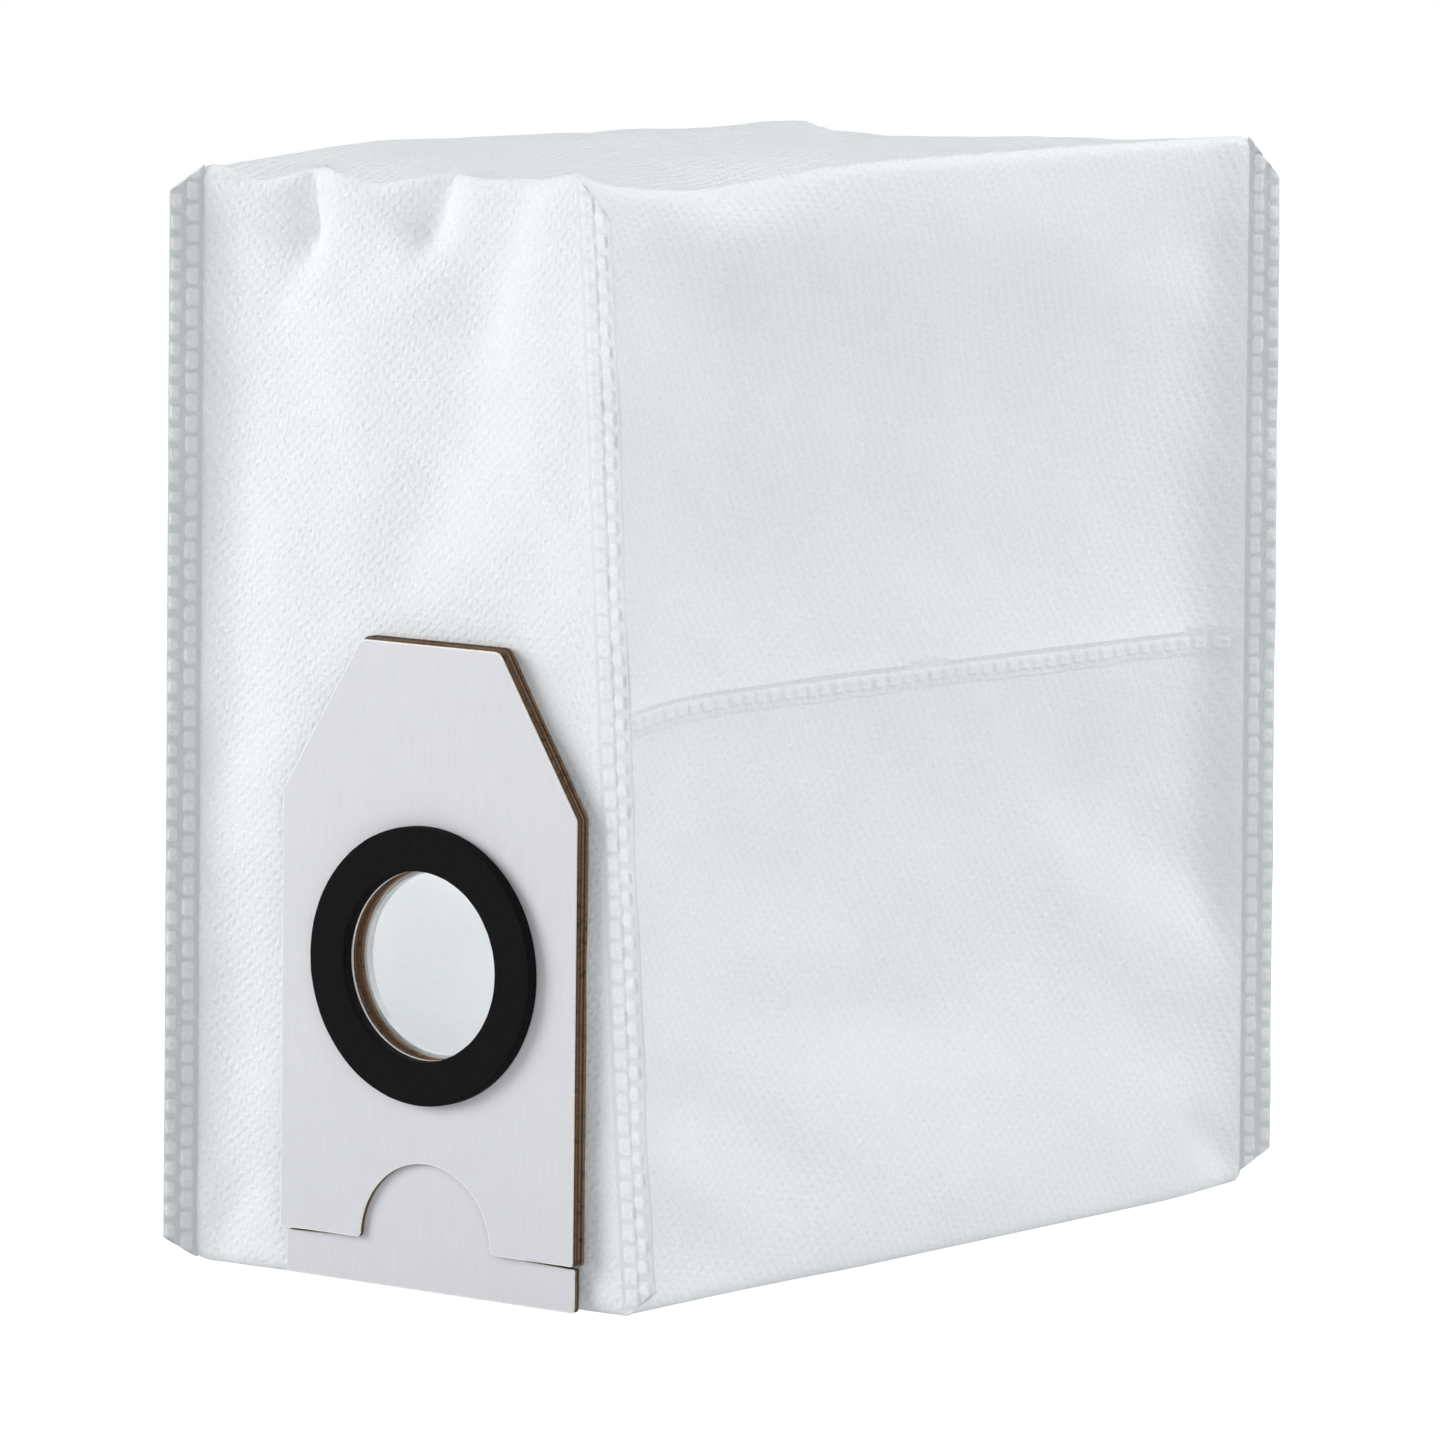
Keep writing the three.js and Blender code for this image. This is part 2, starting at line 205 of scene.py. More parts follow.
class DustBagSizes(PropertyGroup):
    """The fleece bag's own sizes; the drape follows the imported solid."""

    width: length("Width", "Front wall at the floor, from crease to crease", 114)
    depth: length("Depth", "From the front wall to the back wall", 226)
    height: length("Height", "From the floor to the top edges", 235)
    wall: length("Wall", "Thickness of the bonded fleece", 2.0)
    edge_radius: length("Edge radius", "Soft folds along the top and bottom edges", 3)
    near_lean: length("Near corner lean", "How far the near corner leans in at the top", 12.8)
    far_skirt: length("Far corner skirt", "How far the left front corner spreads at the floor", 2.4)
    left_sag: length("Left sag", "How far the left wall sinks in", 5)
    right_sag: length("Right sag", "How far the right wall sinks in", 14)
    back_sag: length("Back sag", "How far the back wall bulges between its corners", 4)
    front_sag: length("Front sag", "How far the front wall sinks in above the collar", 3)
    top_crown: length("Top crown", "How far the middle of the top stands up", 3.5)
    top_drop: length("Top drop", "How far the top has sunk behind its diagonal crease", 3.4)
    step: length("Mesh step", "Distance between the outer mesh lines", 1.75)
    lining_step: length("Lining mesh step", "Distance between the inner mesh lines", 3.6)


class DustBagSeams(PropertyGroup):
    """The welded corner fins and the folded seams at mid height."""

    fin_film: length("Fin film", "Thickness of the pressed film between the pads", 0.5)
    pad_pitch: length("Pad pitch", "Distance from one welded pad to the next", 4.5)
    pad_rise: length("Pad rise", "How far a pad stands up from the pressed film", 0.42)
    seam_height: length("Seam height", "Top of the folded seams above the floor", 127)
    seam_drop: length("Seam drop", "Height of a folded seam's flap", 4.3)
    seam_thickness: length("Seam thickness", "How far the folded flap stands off its wall", 0.9)
    seam_ridge: length("Seam ridge", "How far the walls are carried out along the seam", 2)
    seam_end_gap: length("Seam end gap", "From each end of a seam to its corner", 2.5)


class DustBagCollar(PropertyGroup):
    """The card collar, its slide and its foam ring."""

    liner: length("Liner", "Thickness of a board's paper liners", 0.14)
    edge_soft: length("Soft edge", "Rounding of a board's front edges, left by the die", 0.32)
    core_setback: length("Core setback", "How far the core lies behind the liners' edges", 0.16)
    flute_pitch: length("Flute pitch", "Distance between the flutes of the boards", 1.7)
    hole_radius: length("Inlet radius", "Radius of the inlet through the collar", 20)
    foam_radius: length("Foam radius", "Outer radius of the foam ring", 29.4)
    foam_round: length("Foam rounding", "Rounding of the foam ring's outer edges", 0.55)


class DustBagColours(PropertyGroup):
    """Colours of the finishes, as linear values."""

    fleece: colour("Fleece", "Bonded fleece", (0.80, 0.83, 0.85))
    lining: colour("Lining", "Inner layer of the fleece", (0.80, 0.815, 0.82))
    film: colour("Pressed film", "Fleece pressed to a film between the pads", (0.67, 0.705, 0.725))
    liner: colour("White liner", "Coated face of the card", (0.64, 0.645, 0.677))
    # Paler than the coated face: the white paper of the die-rounded front edge, and partly a
    # painted highlight along that edge
    liner_edge_and_highlight: colour("Cut liner", "Cut edges of the white liner", (0.86, 0.85, 0.83))
    kraft: colour("Brown card", "Cut edges and inner faces of the card", (0.25, 0.15, 0.08))
    # Painted shade: the near-black colour put in the open flutes and along the core's line of the
    # card's cut edges
    flute_shade: colour("Dark flutes", "Open flutes in the cut edges", (0.022, 0.012, 0.007))
    foam: colour("Foam", "Closed-cell foam", (0.004, 0.004, 0.004))


class DustBagStage(PropertyGroup):
    """Camera, lamps and floor."""

    azimuth: angle("Azimuth", "Camera's turn round the bag", 37.05)
    elevation: angle("Elevation", "Camera's height angle", 6.54)
    roll: angle("Roll", "Camera's tilt about its axis", 0.25)
    distance: length("Distance", "Camera to its target", 2251)
    lens: FloatProperty(
        name="Lens", description="Focal length on a 36 mm sensor", default=258.2, unit="CAMERA"
    )
    target_height: length("Target height", "Height that the camera looks at", 110.7)
    target_side: length("Target side", "Target's shift to the camera's left", 3.73)
    lamp_power: power("Lamps", "Power that the lamps' shares are counted from", 11.9)
    inside_power: power("Inside lamp", "Light within the bag", 0.155)
    ambient: share("Ambient", "Strength of the even light from all round", 0.08, 2)
    floor_light: share("Floor light", "Light that the floor gives off to the bag", 0.4, 2)
    floor_glow: share("Floor glow", "Light that the camera sees the floor give off", 0.96, 2)


GROUPS = {
    "dust_bag_sizes": DustBagSizes,
    "dust_bag_seams": DustBagSeams,
    "dust_bag_collar": DustBagCollar,
    "dust_bag_colours": DustBagColours,
    "dust_bag_stage": DustBagStage,
}


def bump(value, centre, reach):
    """A smooth hump, 1 at its centre, that fades over its reach."""
    return np.exp(-(((value - centre) / reach) ** 2))


def past_top_crease(x, y):
    """How far points lie behind the crease across the top, seen from above; 0 in front of it."""
    (left_x, left_y), (right_x, right_y) = TOP_CREASE
    run_x, run_y = right_x - left_x, right_y - left_y
    across = run_x * (y - left_y) - run_y * (x - left_x)
    return np.maximum(0, across / math.hypot(run_x, run_y))


def drape(points, bag, seams, collar_top):
    """Points of the true box moved as the slack fleece lies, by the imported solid's own rule."""
    x, y, z = points.T
    across = np.clip(x / (bag.width / 2), -1, 1)
    along = np.clip(y / (bag.depth / 2), -1, 1)
    up = np.clip(z / bag.height, 0, 1)
    right, front = (1 + across) / 2, (1 - along) / 2
    back = 1 - front
    mid_side, mid_height = 1 - along**2, 4 * up * (1 - up)
    over_collar = np.clip((z - collar_top) / (bag.height - collar_top), 0, 1)
    top_edge = np.exp(-np.maximum(0, bag.height - z) / HOLLOW_FADE)
    front_edge = top_edge * np.exp(-np.maximum(0, y + bag.depth / 2) / HOLLOW_FADE)
    right_edge = top_edge * np.exp(-np.maximum(0, bag.width / 2 - x) / HOLLOW_FADE)

    dx = -bag.near_lean * up**LEAN_BOW * right * front
    dx -= bag.far_skirt * (1 - up) * (1 - right) * front
    ridge_reach = seams.seam_drop * RIDGE_REACH
    ridge = mid_side * seams.seam_ridge * bump(z, seams.seam_height, ridge_reach)
    tucked = (1 - np.exp(-back / RIGHT_TUCK)) * (1 - back**REAR_POWER)
    right_height = mid_height ** (1 + NEAR_FIN_HOLD * front**2)
    dx -= np.maximum(0, across) * (bag.right_sag * tucked * right_height - ridge)
    dx += np.maximum(0, -across) * (bag.left_sag * mid_side * mid_height - ridge)
    sag_over_collar = 4 * over_collar * (1 - over_collar)
    dy = bag.front_sag * (1 - across**2) * front**END_POWER * sag_over_collar
    dy -= bag.back_sag * (1 - across**2) * back**END_POWER * mid_height
    puff_at, puff_height, puff_reach = LEFT_EDGE_PUFF
    lift = bag.top_crown * (1 - across**2) * mid_side
    lift += puff_height * bump(y, puff_at, puff_reach) * (1 - right) ** PUFF_POWER
    lift -= bag.top_drop * (1 - np.exp(-past_top_crease(x, y) / TOP_DROP_RUN)) * (1 - right**2)
    dz = lift * up**TOP_POWER
    for at, depth, reach in FRONT_EDGE_HOLLOWS:
        sunk = depth * bump(x, at, reach) * front_edge
        dy = dy + HOLLOW_PUSH * sunk
        dz = dz - sunk
    peak, peak_reach = NEAR_PEAK
    from_corner = np.hypot(x - bag.width / 2, y + bag.depth / 2)
    dz = dz + peak * bump(from_corner, 0, peak_reach) * up**TOP_POWER
    ridge_height, ridge_width = EDGE_RIDGE
    from_edge = np.minimum(y + bag.depth / 2, bag.width / 2 - x)
    on_top = z > bag.height - bag.edge_radius
    dz = dz + ridge_height * bump(from_edge, ridge_width, ridge_width) * on_top
    at, depth, reach = RIGHT_EDGE_HOLLOW
    sunk = depth * right_edge * bump(y, at, reach)
    return np.stack([x + dx - sunk, y + dy, z + dz - sunk], 1)


def wall_places(points, bag):
    """For each wall: places on it, how near it each point is from 0 to 1, and its outward axis."""
    x, y, z = points.T
    near = bag.edge_radius * 2

    def nearness(gap):
        return np.clip(1 - np.maximum(0, gap - bag.wall) / near, 0, 1)

    return {
        FRONT: (x, z, nearness(y + bag.depth / 2), (0, -1, 0)),
        BACK: (x, z, nearness(bag.depth / 2 - y), (0, 1, 0)),
        LEFT: (y, z, nearness(x + bag.width / 2), (-1, 0, 0)),
        RIGHT: (y, z, nearness(bag.width / 2 - x), (1, 0, 0)),
        TOP: (x, y, nearness(bag.height - z), (0, 0, 1)),
    }


def corner_fade(place, wall, bag):
    """0 at a wall's upright corners, where the welds hold it, rising to 1 away from them."""
    half = (bag.depth if wall in (LEFT, RIGHT) else bag.width) / 2
    return 1 - bump(half - abs(place), 0, CORNER_HOLD)


def seam_droop(place, wall, bag):
    """How far a seam hangs below its line, at places along it."""
    if wall != RIGHT:
        return 0 * place
    depth, run = SEAM_DROOP
    return depth * np.exp(-np.maximum(0, place + bag.depth / 2) / run)


def fold_share(u, v, start, end, reach_left, reach_right, sharp):
    """How far a fold along a line moves places on its wall, as a share of its height."""
    start, end = np.array(start) * MM, np.array(end) * MM
    line_length = np.hypot(*(end - start))
    run = (end - start) / line_length
    along = (u - start[0]) * run[0] + (v - start[1]) * run[1]
    beyond = np.maximum(0, np.maximum(-along, along - line_length))
    to_left = (v - start[1]) * run[0] - (u - start[0]) * run[1]
    reach = np.where(to_left > 0, reach_left, reach_right) * MM
    end_reach = (reach_left + reach_right) / 2 * MM
    if sharp:
        flank = (np.hypot(to_left, CREASE_FLOOR) - CREASE_FLOOR) / reach
    else:
        flank = (to_left / reach) ** 2
    return np.exp(-flank - (beyond / end_reach) ** 2)


def seam_fold(above):
    """How far a wall comes out just above its seam's line and sinks in just below it."""
    lip, lip_run = SEAM_LIP
    dip, dip_run = SEAM_DIP
    return np.where(above > 0, lip * np.exp(-above / lip_run), -dip * np.exp(above / dip_run))


def wrinkle_shift(points, bag):
    """How the soft wrinkles, the seams' step and a slow waviness move points of the true box."""
    shift = np.zeros_like(points)
    places = wall_places(points, bag)
    for lines, sharp in ((WRINKLES, False), (CREASES, True)):
        for wall, start, end, proud, reach_left, reach_right in lines:
            u, v, near, axis = places[wall]
            fold = fold_share(u, v, start, end, reach_left, reach_right, sharp)
            height = proud * MM * fold * near
            shift += (height * corner_fade(u, wall, bag))[:, None] * np.array(axis)
    for number, (wall, (u, v, near, axis)) in enumerate(places.items()):
        wave = slow_waves(u, v, number) * near
        from_edge = np.minimum(v, bag.height - v)
        edge = np.minimum(1, from_edge / WAVE_START) if wall != TOP else 1
        free = corner_fade(u, wall, bag)
        if wall == RIGHT:
            tucked = RIGHT_FOOT_TUCK * (1 - np.exp(-v / FOOT_RUN)) * np.exp(-v / FOOT_FADE)
            shift -= (tucked * near * free)[:, None] * np.array(axis)
        shift += (wave * edge * free)[:, None] * np.array(axis)
        if wall in (RIGHT, LEFT, BACK):
            z = points[:, 2]
            shift += (seam_fold(z - SEAM_LINE) * near * free)[:, None] * np.array(axis)
            shift[:, 2] -= seam_droop(u, wall, bag) * bump(z, SEAM_LINE, DROOP_REACH) * near
    return shift


def slow_waves(u, v, number):
    """A slow waviness of slack fleece, a fraction of a millimetre high, unlike on each wall."""
    height = np.zeros_like(u)
    for turn, pitch, proud in WAVES:
        c, s = math.cos(turn + WAVE_TURN * number), math.sin(turn + WAVE_TURN * number)
        along = (u * c + v * s) / (pitch * MM)
        side = (v * c - u * s) / (pitch * WAVE_CROSS * MM)
        sway = WAVE_SWAY * np.sin(2 * math.pi * side)
        height += proud * MM * np.sin(2 * math.pi * along + sway + number)
    return height


def corner_shift(points, bag):
    """The walls tucked in beside their fins, so that they curve out into the welds."""
    z = points[:, 2]
    shift = np.zeros_like(points)
    places = wall_places(points, bag)
    for wall, side, depth, run, fade in TUCKS:
        foot = REAR_TUCK_FOOT if (wall, side) == (RIGHT, 1) else 0
        level = np.clip(np.minimum((z - foot) / TUCK_START, (bag.height - z) / TUCK_END), 0, 1)
        place, _, near, axis = places[wall]
        half = (bag.width if wall in (FRONT, BACK) else bag.depth) / 2
        gap = np.maximum(0, half - side * place)
        deepening = 1 - np.exp(-((gap / (run * MM)) ** TUCK_POWER))
        sunk = depth * MM * deepening * np.exp(-gap / (fade * MM)) * near * level
        shift -= sunk[:, None] * np.array(axis)
    return shift


# Places of the mesh lines over a soft fold, as shares of its radius
SOFT_LINES = (0, 0.22, 0.45, 0.7, 1)


def grid_lines(low, high, radius, step):
    """Places of the mesh lines from low to high, closer together over the soft folds."""
    near = [radius * part for part in SOFT_LINES]
    count = max(2, round((high - low - 2 * radius) / step))
    inner = np.linspace(low + radius, high - radius, count + 1)
    first, last = [low + gap for gap in near[:-1]], [high - gap for gap in near[-2::-1]]
    return np.concatenate([first, inner, last])


def box_skin(bag, inset, step):
    """Points, faces and each face's wall, of the true box drawn in by inset, with soft edges."""
    radius = bag.edge_radius - inset
    half_x, half_y = bag.width / 2 - inset, bag.depth / 2 - inset
    low_z, high_z = inset, bag.height - inset
    lines = [
        grid_lines(-half_x, half_x, radius, step),
        grid_lines(-half_y, half_y, radius, step),
        grid_lines(low_z, high_z, radius, step),
    ]
    counts = [len(line) for line in lines]
    number = -np.ones(counts, int)
    on_skin = np.zeros(counts, bool)
    for axis in range(3):
        on_skin[tuple(slice(None) if a != axis else 0 for a in range(3))] = True
        on_skin[tuple(slice(None) if a != axis else -1 for a in range(3))] = True
    places = np.argwhere(on_skin)
    number[on_skin] = np.arange(len(places))
    points = np.stack([lines[a][places[:, a]] for a in range(3)], 1)

    faces, walls = [], []
    for axis, (low_wall, high_wall) in enumerate(((LEFT, RIGHT), (FRONT, BACK), (BASE, TOP))):
        for end, wall in ((0, low_wall), (-1, high_wall)):
            sheet = np.take(number, end, axis)
            corners = (sheet[:-1, :-1], sheet[1:, :-1], sheet[1:, 1:], sheet[:-1, 1:])
            quads = np.stack(corners, -1).reshape(-1, 4)
            facing_out = (end == -1) == (axis != 1)
            faces.append(quads if facing_out else quads[:, ::-1])
            walls += [wall] * len(quads)

    x, y, z = points.T
    from_side, from_front = half_x - abs(x), half_y - abs(y)
    from_wall = np.minimum(from_side, from_front)
    from_end = np.minimum(z - low_z, high_z - z)
    soft = (from_wall < radius) & (from_end < radius)
    reach = np.hypot(radius - from_wall, radius - from_end)
    square = np.maximum(radius - from_wall, radius - from_end)
    stretch = np.where(soft, square / np.where(soft, reach, 1), 1)
    new_wall = np.where(soft, radius - (radius - from_wall) * stretch, from_wall)
    new_end = np.where(soft, radius - (radius - from_end) * stretch, from_end)
    points[:, 0] = np.where(from_side == from_wall, np.sign(x) * (half_x - new_wall), x)
    points[:, 1] = np.where(from_front == from_wall, np.sign(y) * (half_y - new_wall), y)
    points[:, 2] = np.where(z < bag.height / 2, low_z + new_end, high_z - new_end)
    return points, np.concatenate(faces), walls


# How each wall's weave is laid: the two axes of the cloth, and its turn in degrees
CLOTH_LAY = {
    FRONT: (0, 2, 37.8),
    BACK: (0, 2, 30),
    LEFT: (1, 2, -27),
    RIGHT: (1, 2, 27.7),
    TOP: (0, 1, 12),
    BASE: (0, 1, 12),
}
CLOTH_UNITS = 100  # places on the cloth are in centimetres


def cloth_places(points, faces, walls):
    """Each face corner's place on the flat cloth, in centimetres, turned as the dots lie there."""
    flat = np.zeros((len(faces), 4, 2))
    walls = np.array(walls)
    for wall, (u_axis, v_axis, turn) in CLOTH_LAY.items():
        chosen = walls == wall
        u = points[faces[chosen]][:, :, u_axis]
        v = points[faces[chosen]][:, :, v_axis]
        c, s = math.cos(math.radians(turn)), math.sin(math.radians(turn))
        flat[chosen] = np.stack([u * c + v * s, v * c - u * s], -1) * CLOTH_UNITS
    return flat.reshape(-1, 2)


def new_object(name, points, faces, material, places=None, sharp=40):
    """A smooth-shaded mesh object of points in metres, sharp where it bends past some degrees."""
    mesh = bpy.data.meshes.new(name)
    mesh.from_pydata([tuple(p) for p in points], [], [tuple(int(i) for i in f) for f in faces])
    if places is not None:
        layer = mesh.uv_layers.new(name="cloth")
        layer.data.foreach_set("uv", np.asarray(places, np.float32).ravel())
    mesh.polygons.foreach_set("use_smooth", np.ones(len(mesh.polygons), bool))
    mesh.set_sharp_from_angle(angle=math.radians(sharp))
    mesh.materials.append(material)
    mesh.update()
    made = bpy.data.objects.new(name, mesh)
    bpy.context.scene.collection.objects.link(made)
    return made


def apply_modifiers(made):
    """Give the object the mesh that its modifiers make."""
    graph = bpy.context.evaluated_depsgraph_get()
    finished = bpy.data.meshes.new_from_object(made.evaluated_get(graph))
    made.modifiers.clear()
    made.data = finished


def lay_cloth(mesh, places):
    """Give each face corner its vertex's place on the flat cloth, from places in metres."""
    corners = np.zeros(len(mesh.loops), int)
    mesh.loops.foreach_get("vertex_index", corners)
    laid = (places[corners] * CLOTH_UNITS).astype(np.float32)
    mesh.uv_layers.new(name="cloth").data.foreach_set("uv", laid.ravel())


def mark_pressed(mesh, pressed):
    """Mark how far each vertex is pressed to a film, from 0 to 1."""
    marks = mesh.attributes.new("pressed", "FLOAT", "POINT")
    marks.data.foreach_set("value", pressed.ravel().astype(np.float32))


def cleaned(made, merge=0.0):
    """Turn the object's faces outwards, with points nearer than merge joined."""
    mesh = bmesh.new()
    mesh.from_mesh(made.data)
    if merge:
        bmesh.ops.remove_doubles(mesh, verts=mesh.verts, dist=merge)
        bmesh.ops.dissolve_degenerate(mesh, edges=mesh.edges, dist=merge)
    bmesh.ops.recalc_face_normals(mesh, faces=mesh.faces)
    mesh.to_mesh(made.data)
    mesh.free()
    return made


def collar_top():
    """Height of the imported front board's top edge."""
    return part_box("collar_front_board")[1].z


def collar_middle():
    """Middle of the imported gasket, on the inlet's axis."""
    low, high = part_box("foam_gasket")
    return (low + high) / 2


def turned(points):
    """Points of the collar as it hangs, turned a little about the middle of its top edge."""
    low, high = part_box("collar_front_board")
    pivot_x, pivot_z = (low.x + high.x) / 2, high.z
    c, s = math.cos(COLLAR_TURN), math.sin(COLLAR_TURN)
    placed = []
    for x, y, z in points:
        aside, below = x - pivot_x, z - pivot_z
        placed.append((pivot_x + aside * c + below * s, y, pivot_z + below * c - aside * s))
    return placed


def turned_middle():
    """Middle of the gasket where the collar hangs."""
    return Vector(turned([tuple(collar_middle())])[0])


class Finish:
    """A procedural finish: one Principled shader, with nodes added to it by name."""

    def __init__(self, name, roughness, **values):
        self.material = bpy.data.materials.new(name)
        self.material.use_nodes = True
        self.tree = self.material.node_tree
        self.shader = next(n for n in self.tree.nodes if n.type == "BSDF_PRINCIPLED")
        self.shader.inputs["Roughness"].default_value = roughness
        for key, value in values.items():
            self.shader.inputs[key.replace("_", " ").title()].default_value = value

    def node(self, kind, inputs=None, **settings):
        made = self.tree.nodes.new(kind)
        for key, value in settings.items():
            setattr(made, key, value)
        for key, value in (inputs or {}).items():
            if isinstance(value, bpy.types.NodeSocket):
                self.tree.links.new(value, made.inputs[key])
            else:
                made.inputs[key].default_value = value
        return made

    def link(self, source, target):
        """Lead a value into the shader."""
        self.tree.links.new(source, self.shader.inputs[target])

    def place(self, kind="Object"):
        """The place on the object, in metres, or on its cloth."""
        return self.node("ShaderNodeTexCoord").outputs[kind]

    def scaled(self, place, scale):
        return self.node("ShaderNodeMapping", {"Vector": place, "Scale": scale}).outputs[0]

    def noise(self, place, scale, detail=4.0, rough=0.5):
        keys = {"Vector": place, "Scale": scale, "Detail": detail, "Roughness": rough}
        return self.node("ShaderNodeTexNoise", keys).outputs["Fac"]

    def range(self, value, low, high, to_low=0.0, to_high=1.0, kind="LINEAR"):
        """A value led from one range to another, and held within it."""
        keys = {"Value": value, "From Min": low, "From Max": high}
        keys |= {"To Min": to_low, "To Max": to_high}
        return self.node("ShaderNodeMapRange", keys, interpolation_type=kind).outputs[0]

    def math(self, operation, *values):
        return self.node("ShaderNodeMath", dict(enumerate(values)), operation=operation).outputs[0]

    def summed(self, *weighted):
        """The sum of values, each with its weight."""
        total = self.math("MULTIPLY", *weighted[0])
        for value, weight in weighted[1:]:
            total = self.math("ADD", total, self.math("MULTIPLY", value, weight))
        return total

    def mix(self, factor, first, second):
        made = self.node("ShaderNodeMix", data_type="RGBA")
        for number, value in ((0, factor), (6, first), (7, second)):
            socket = made.inputs[number]
            if isinstance(value, bpy.types.NodeSocket):
                self.tree.links.new(value, socket)
            else:
                socket.default_value = value
        return made.outputs[2]

    def bump(self, height, strength, distance):
        """Let a height tilt the shader's normal."""
        keys = {"Height": height, "Strength": strength, "Distance": distance}
        self.link(self.node("ShaderNodeBump", keys).outputs[0], "Normal")


def opaque(tint, level=1.0):
    """A colour made lighter or darker, with full alpha."""
    return (*(min(1, part * level) for part in tint), 1)


def existing(name, build):
    """A finish by name, built the first time that a piece asks for it."""
    return bpy.data.materials.get(name) or build(name)


DOT_PITCH = (0.24, 0.185)  # the pressed dots' spacing on the cloth, in centimetres


def fleece_finish(name):
    """Bonded fleece: pressed dots in a lattice, fine fibres, soft creases, darker pressed film."""
    colours = bpy.context.scene.dust_bag_colours
    cloth = Finish(name, 0.5, Sheen_Weight=0.1, Sheen_Roughness=0.5)
    place, lay = cloth.place(), cloth.place("UV")
    dots_at = cloth.scaled(lay, (1 / DOT_PITCH[0], 1 / DOT_PITCH[1], 1))
    keys = {"Vector": dots_at, "Scale": 1.0, "Randomness": 0.16}
    dots = cloth.node("ShaderNodeTexVoronoi", keys, voronoi_dimensions="2D")
    dent = cloth.range(dots.outputs["Distance"], 0.0, 0.5, 0.0, 1.0, "SMOOTHSTEP")
    fibres = cloth.noise(place, 1900, 4, 0.65)
    creases = cloth.noise(cloth.scaled(lay, (3.2, 9.5, 1)), 1.0, 4, 0.6)
    strands = cloth.noise(cloth.scaled(place, (2600, 2600, 500)), 1.0, 3)
    pressed = cloth.node("ShaderNodeAttribute", attribute_name="pressed").outputs["Fac"]
    facing = cloth.node("ShaderNodeNewGeometry").outputs["Normal"]
    level = cloth.node("ShaderNodeSeparateXYZ", {"Vector": facing}).outputs["Z"]
    unpressed = cloth.range(pressed, 0, 0.5, 1.0, 0.0)
    embossed = cloth.math("MULTIPLY", cloth.math("SUBTRACT", dent, 1.0), unpressed)
    emboss_weight = cloth.range(level, 0.6, 0.9, 0.5, 1.6)
    height = cloth.summed((embossed, emboss_weight), (fibres, 0.9), (creases, 0.8), (strands, 0.4))
    pale, dull = opaque(colours.fleece, 1.03), opaque(colours.fleece, 0.94)
    tint = cloth.mix(cloth.range(fibres, 0.35, 0.65), dull, pale)
    in_dots = cloth.range(embossed, -0.95, -0.5, 0.25, 0.0)
    tint = cloth.mix(in_dots, tint, opaque(colours.fleece, 0.9))
    tint = cloth.mix(pressed, tint, opaque(colours.film))
    cloth.link(tint, "Base Color")
    cloth.bump(height, 0.9, 0.27 * MM)
    return cloth.material


def lining_finish(name):
    """The bag's smooth inner layer, with faint fibres."""
    colours = bpy.context.scene.dust_bag_colours
    lining = Finish(name, 0.7)
    place = lining.place()
    fibres = lining.noise(lining.scaled(place, (300, 300, 900)), 1.0, 3)
    pale, dull = opaque(colours.lining, 1.01), opaque(colours.lining, 0.985)
    lining.link(lining.mix(lining.range(fibres, 0.3, 0.7), dull, pale), "Base Color")
    lining.bump(fibres, 0.25, 0.05 * MM)
    return lining.material


def liner_finish(name):
    """Coated white card with faint upright streaks and a fine tooth."""
    colours = bpy.context.scene.dust_bag_colours
    paper = Finish(name, 0.5)
    place = paper.place()
    streaks = paper.noise(paper.scaled(place, (1100, 1100, 140)), 1.0, 4, 0.6)
    grain = paper.noise(place, 3200, 3)
    clouds = paper.noise(place, 160, 4, 0.6)
    pale, dull = opaque(colours.liner, 1.02), opaque(colours.liner, 0.965)
    tint = paper.mix(paper.range(streaks, 0.3, 0.7), dull, pale)
    tint = paper.mix(paper.range(clouds, 0.3, 0.7, 0.0, 0.45), tint, opaque(colours.liner, 0.95))
    paper.link(tint, "Base Color")
    paper.link(paper.range(grain, 0.3, 0.7, 0.42, 0.58), "Roughness")
    paper.bump(paper.math("ADD", streaks, paper.math("MULTIPLY", grain, 0.5)), 0.2, 0.06 * MM)
    return paper.material


def liner_edge_and_highlight_finish(name):
    """The white die-rounded edge of a coated liner, paler than its face: partly the paper's own
    white, partly a painted highlight along the edge.
    """
    colours = bpy.context.scene.dust_bag_colours
    cut = Finish(name, 0.6)
    fibres = cut.noise(cut.place(), 1800, 3)
    pale, dull = opaque(colours.liner_edge_and_highlight, 1.05), opaque(colours.liner_edge_and_highlight, 0.9)
    cut.link(cut.mix(cut.range(fibres, 0.35, 0.7), dull, pale), "Base Color")
    cut.bump(fibres, 0.3, 0.05 * MM)
    return cut.material


CORE_PLACE = 0.55  # where a board's core lies in its thickness, as a share from its front


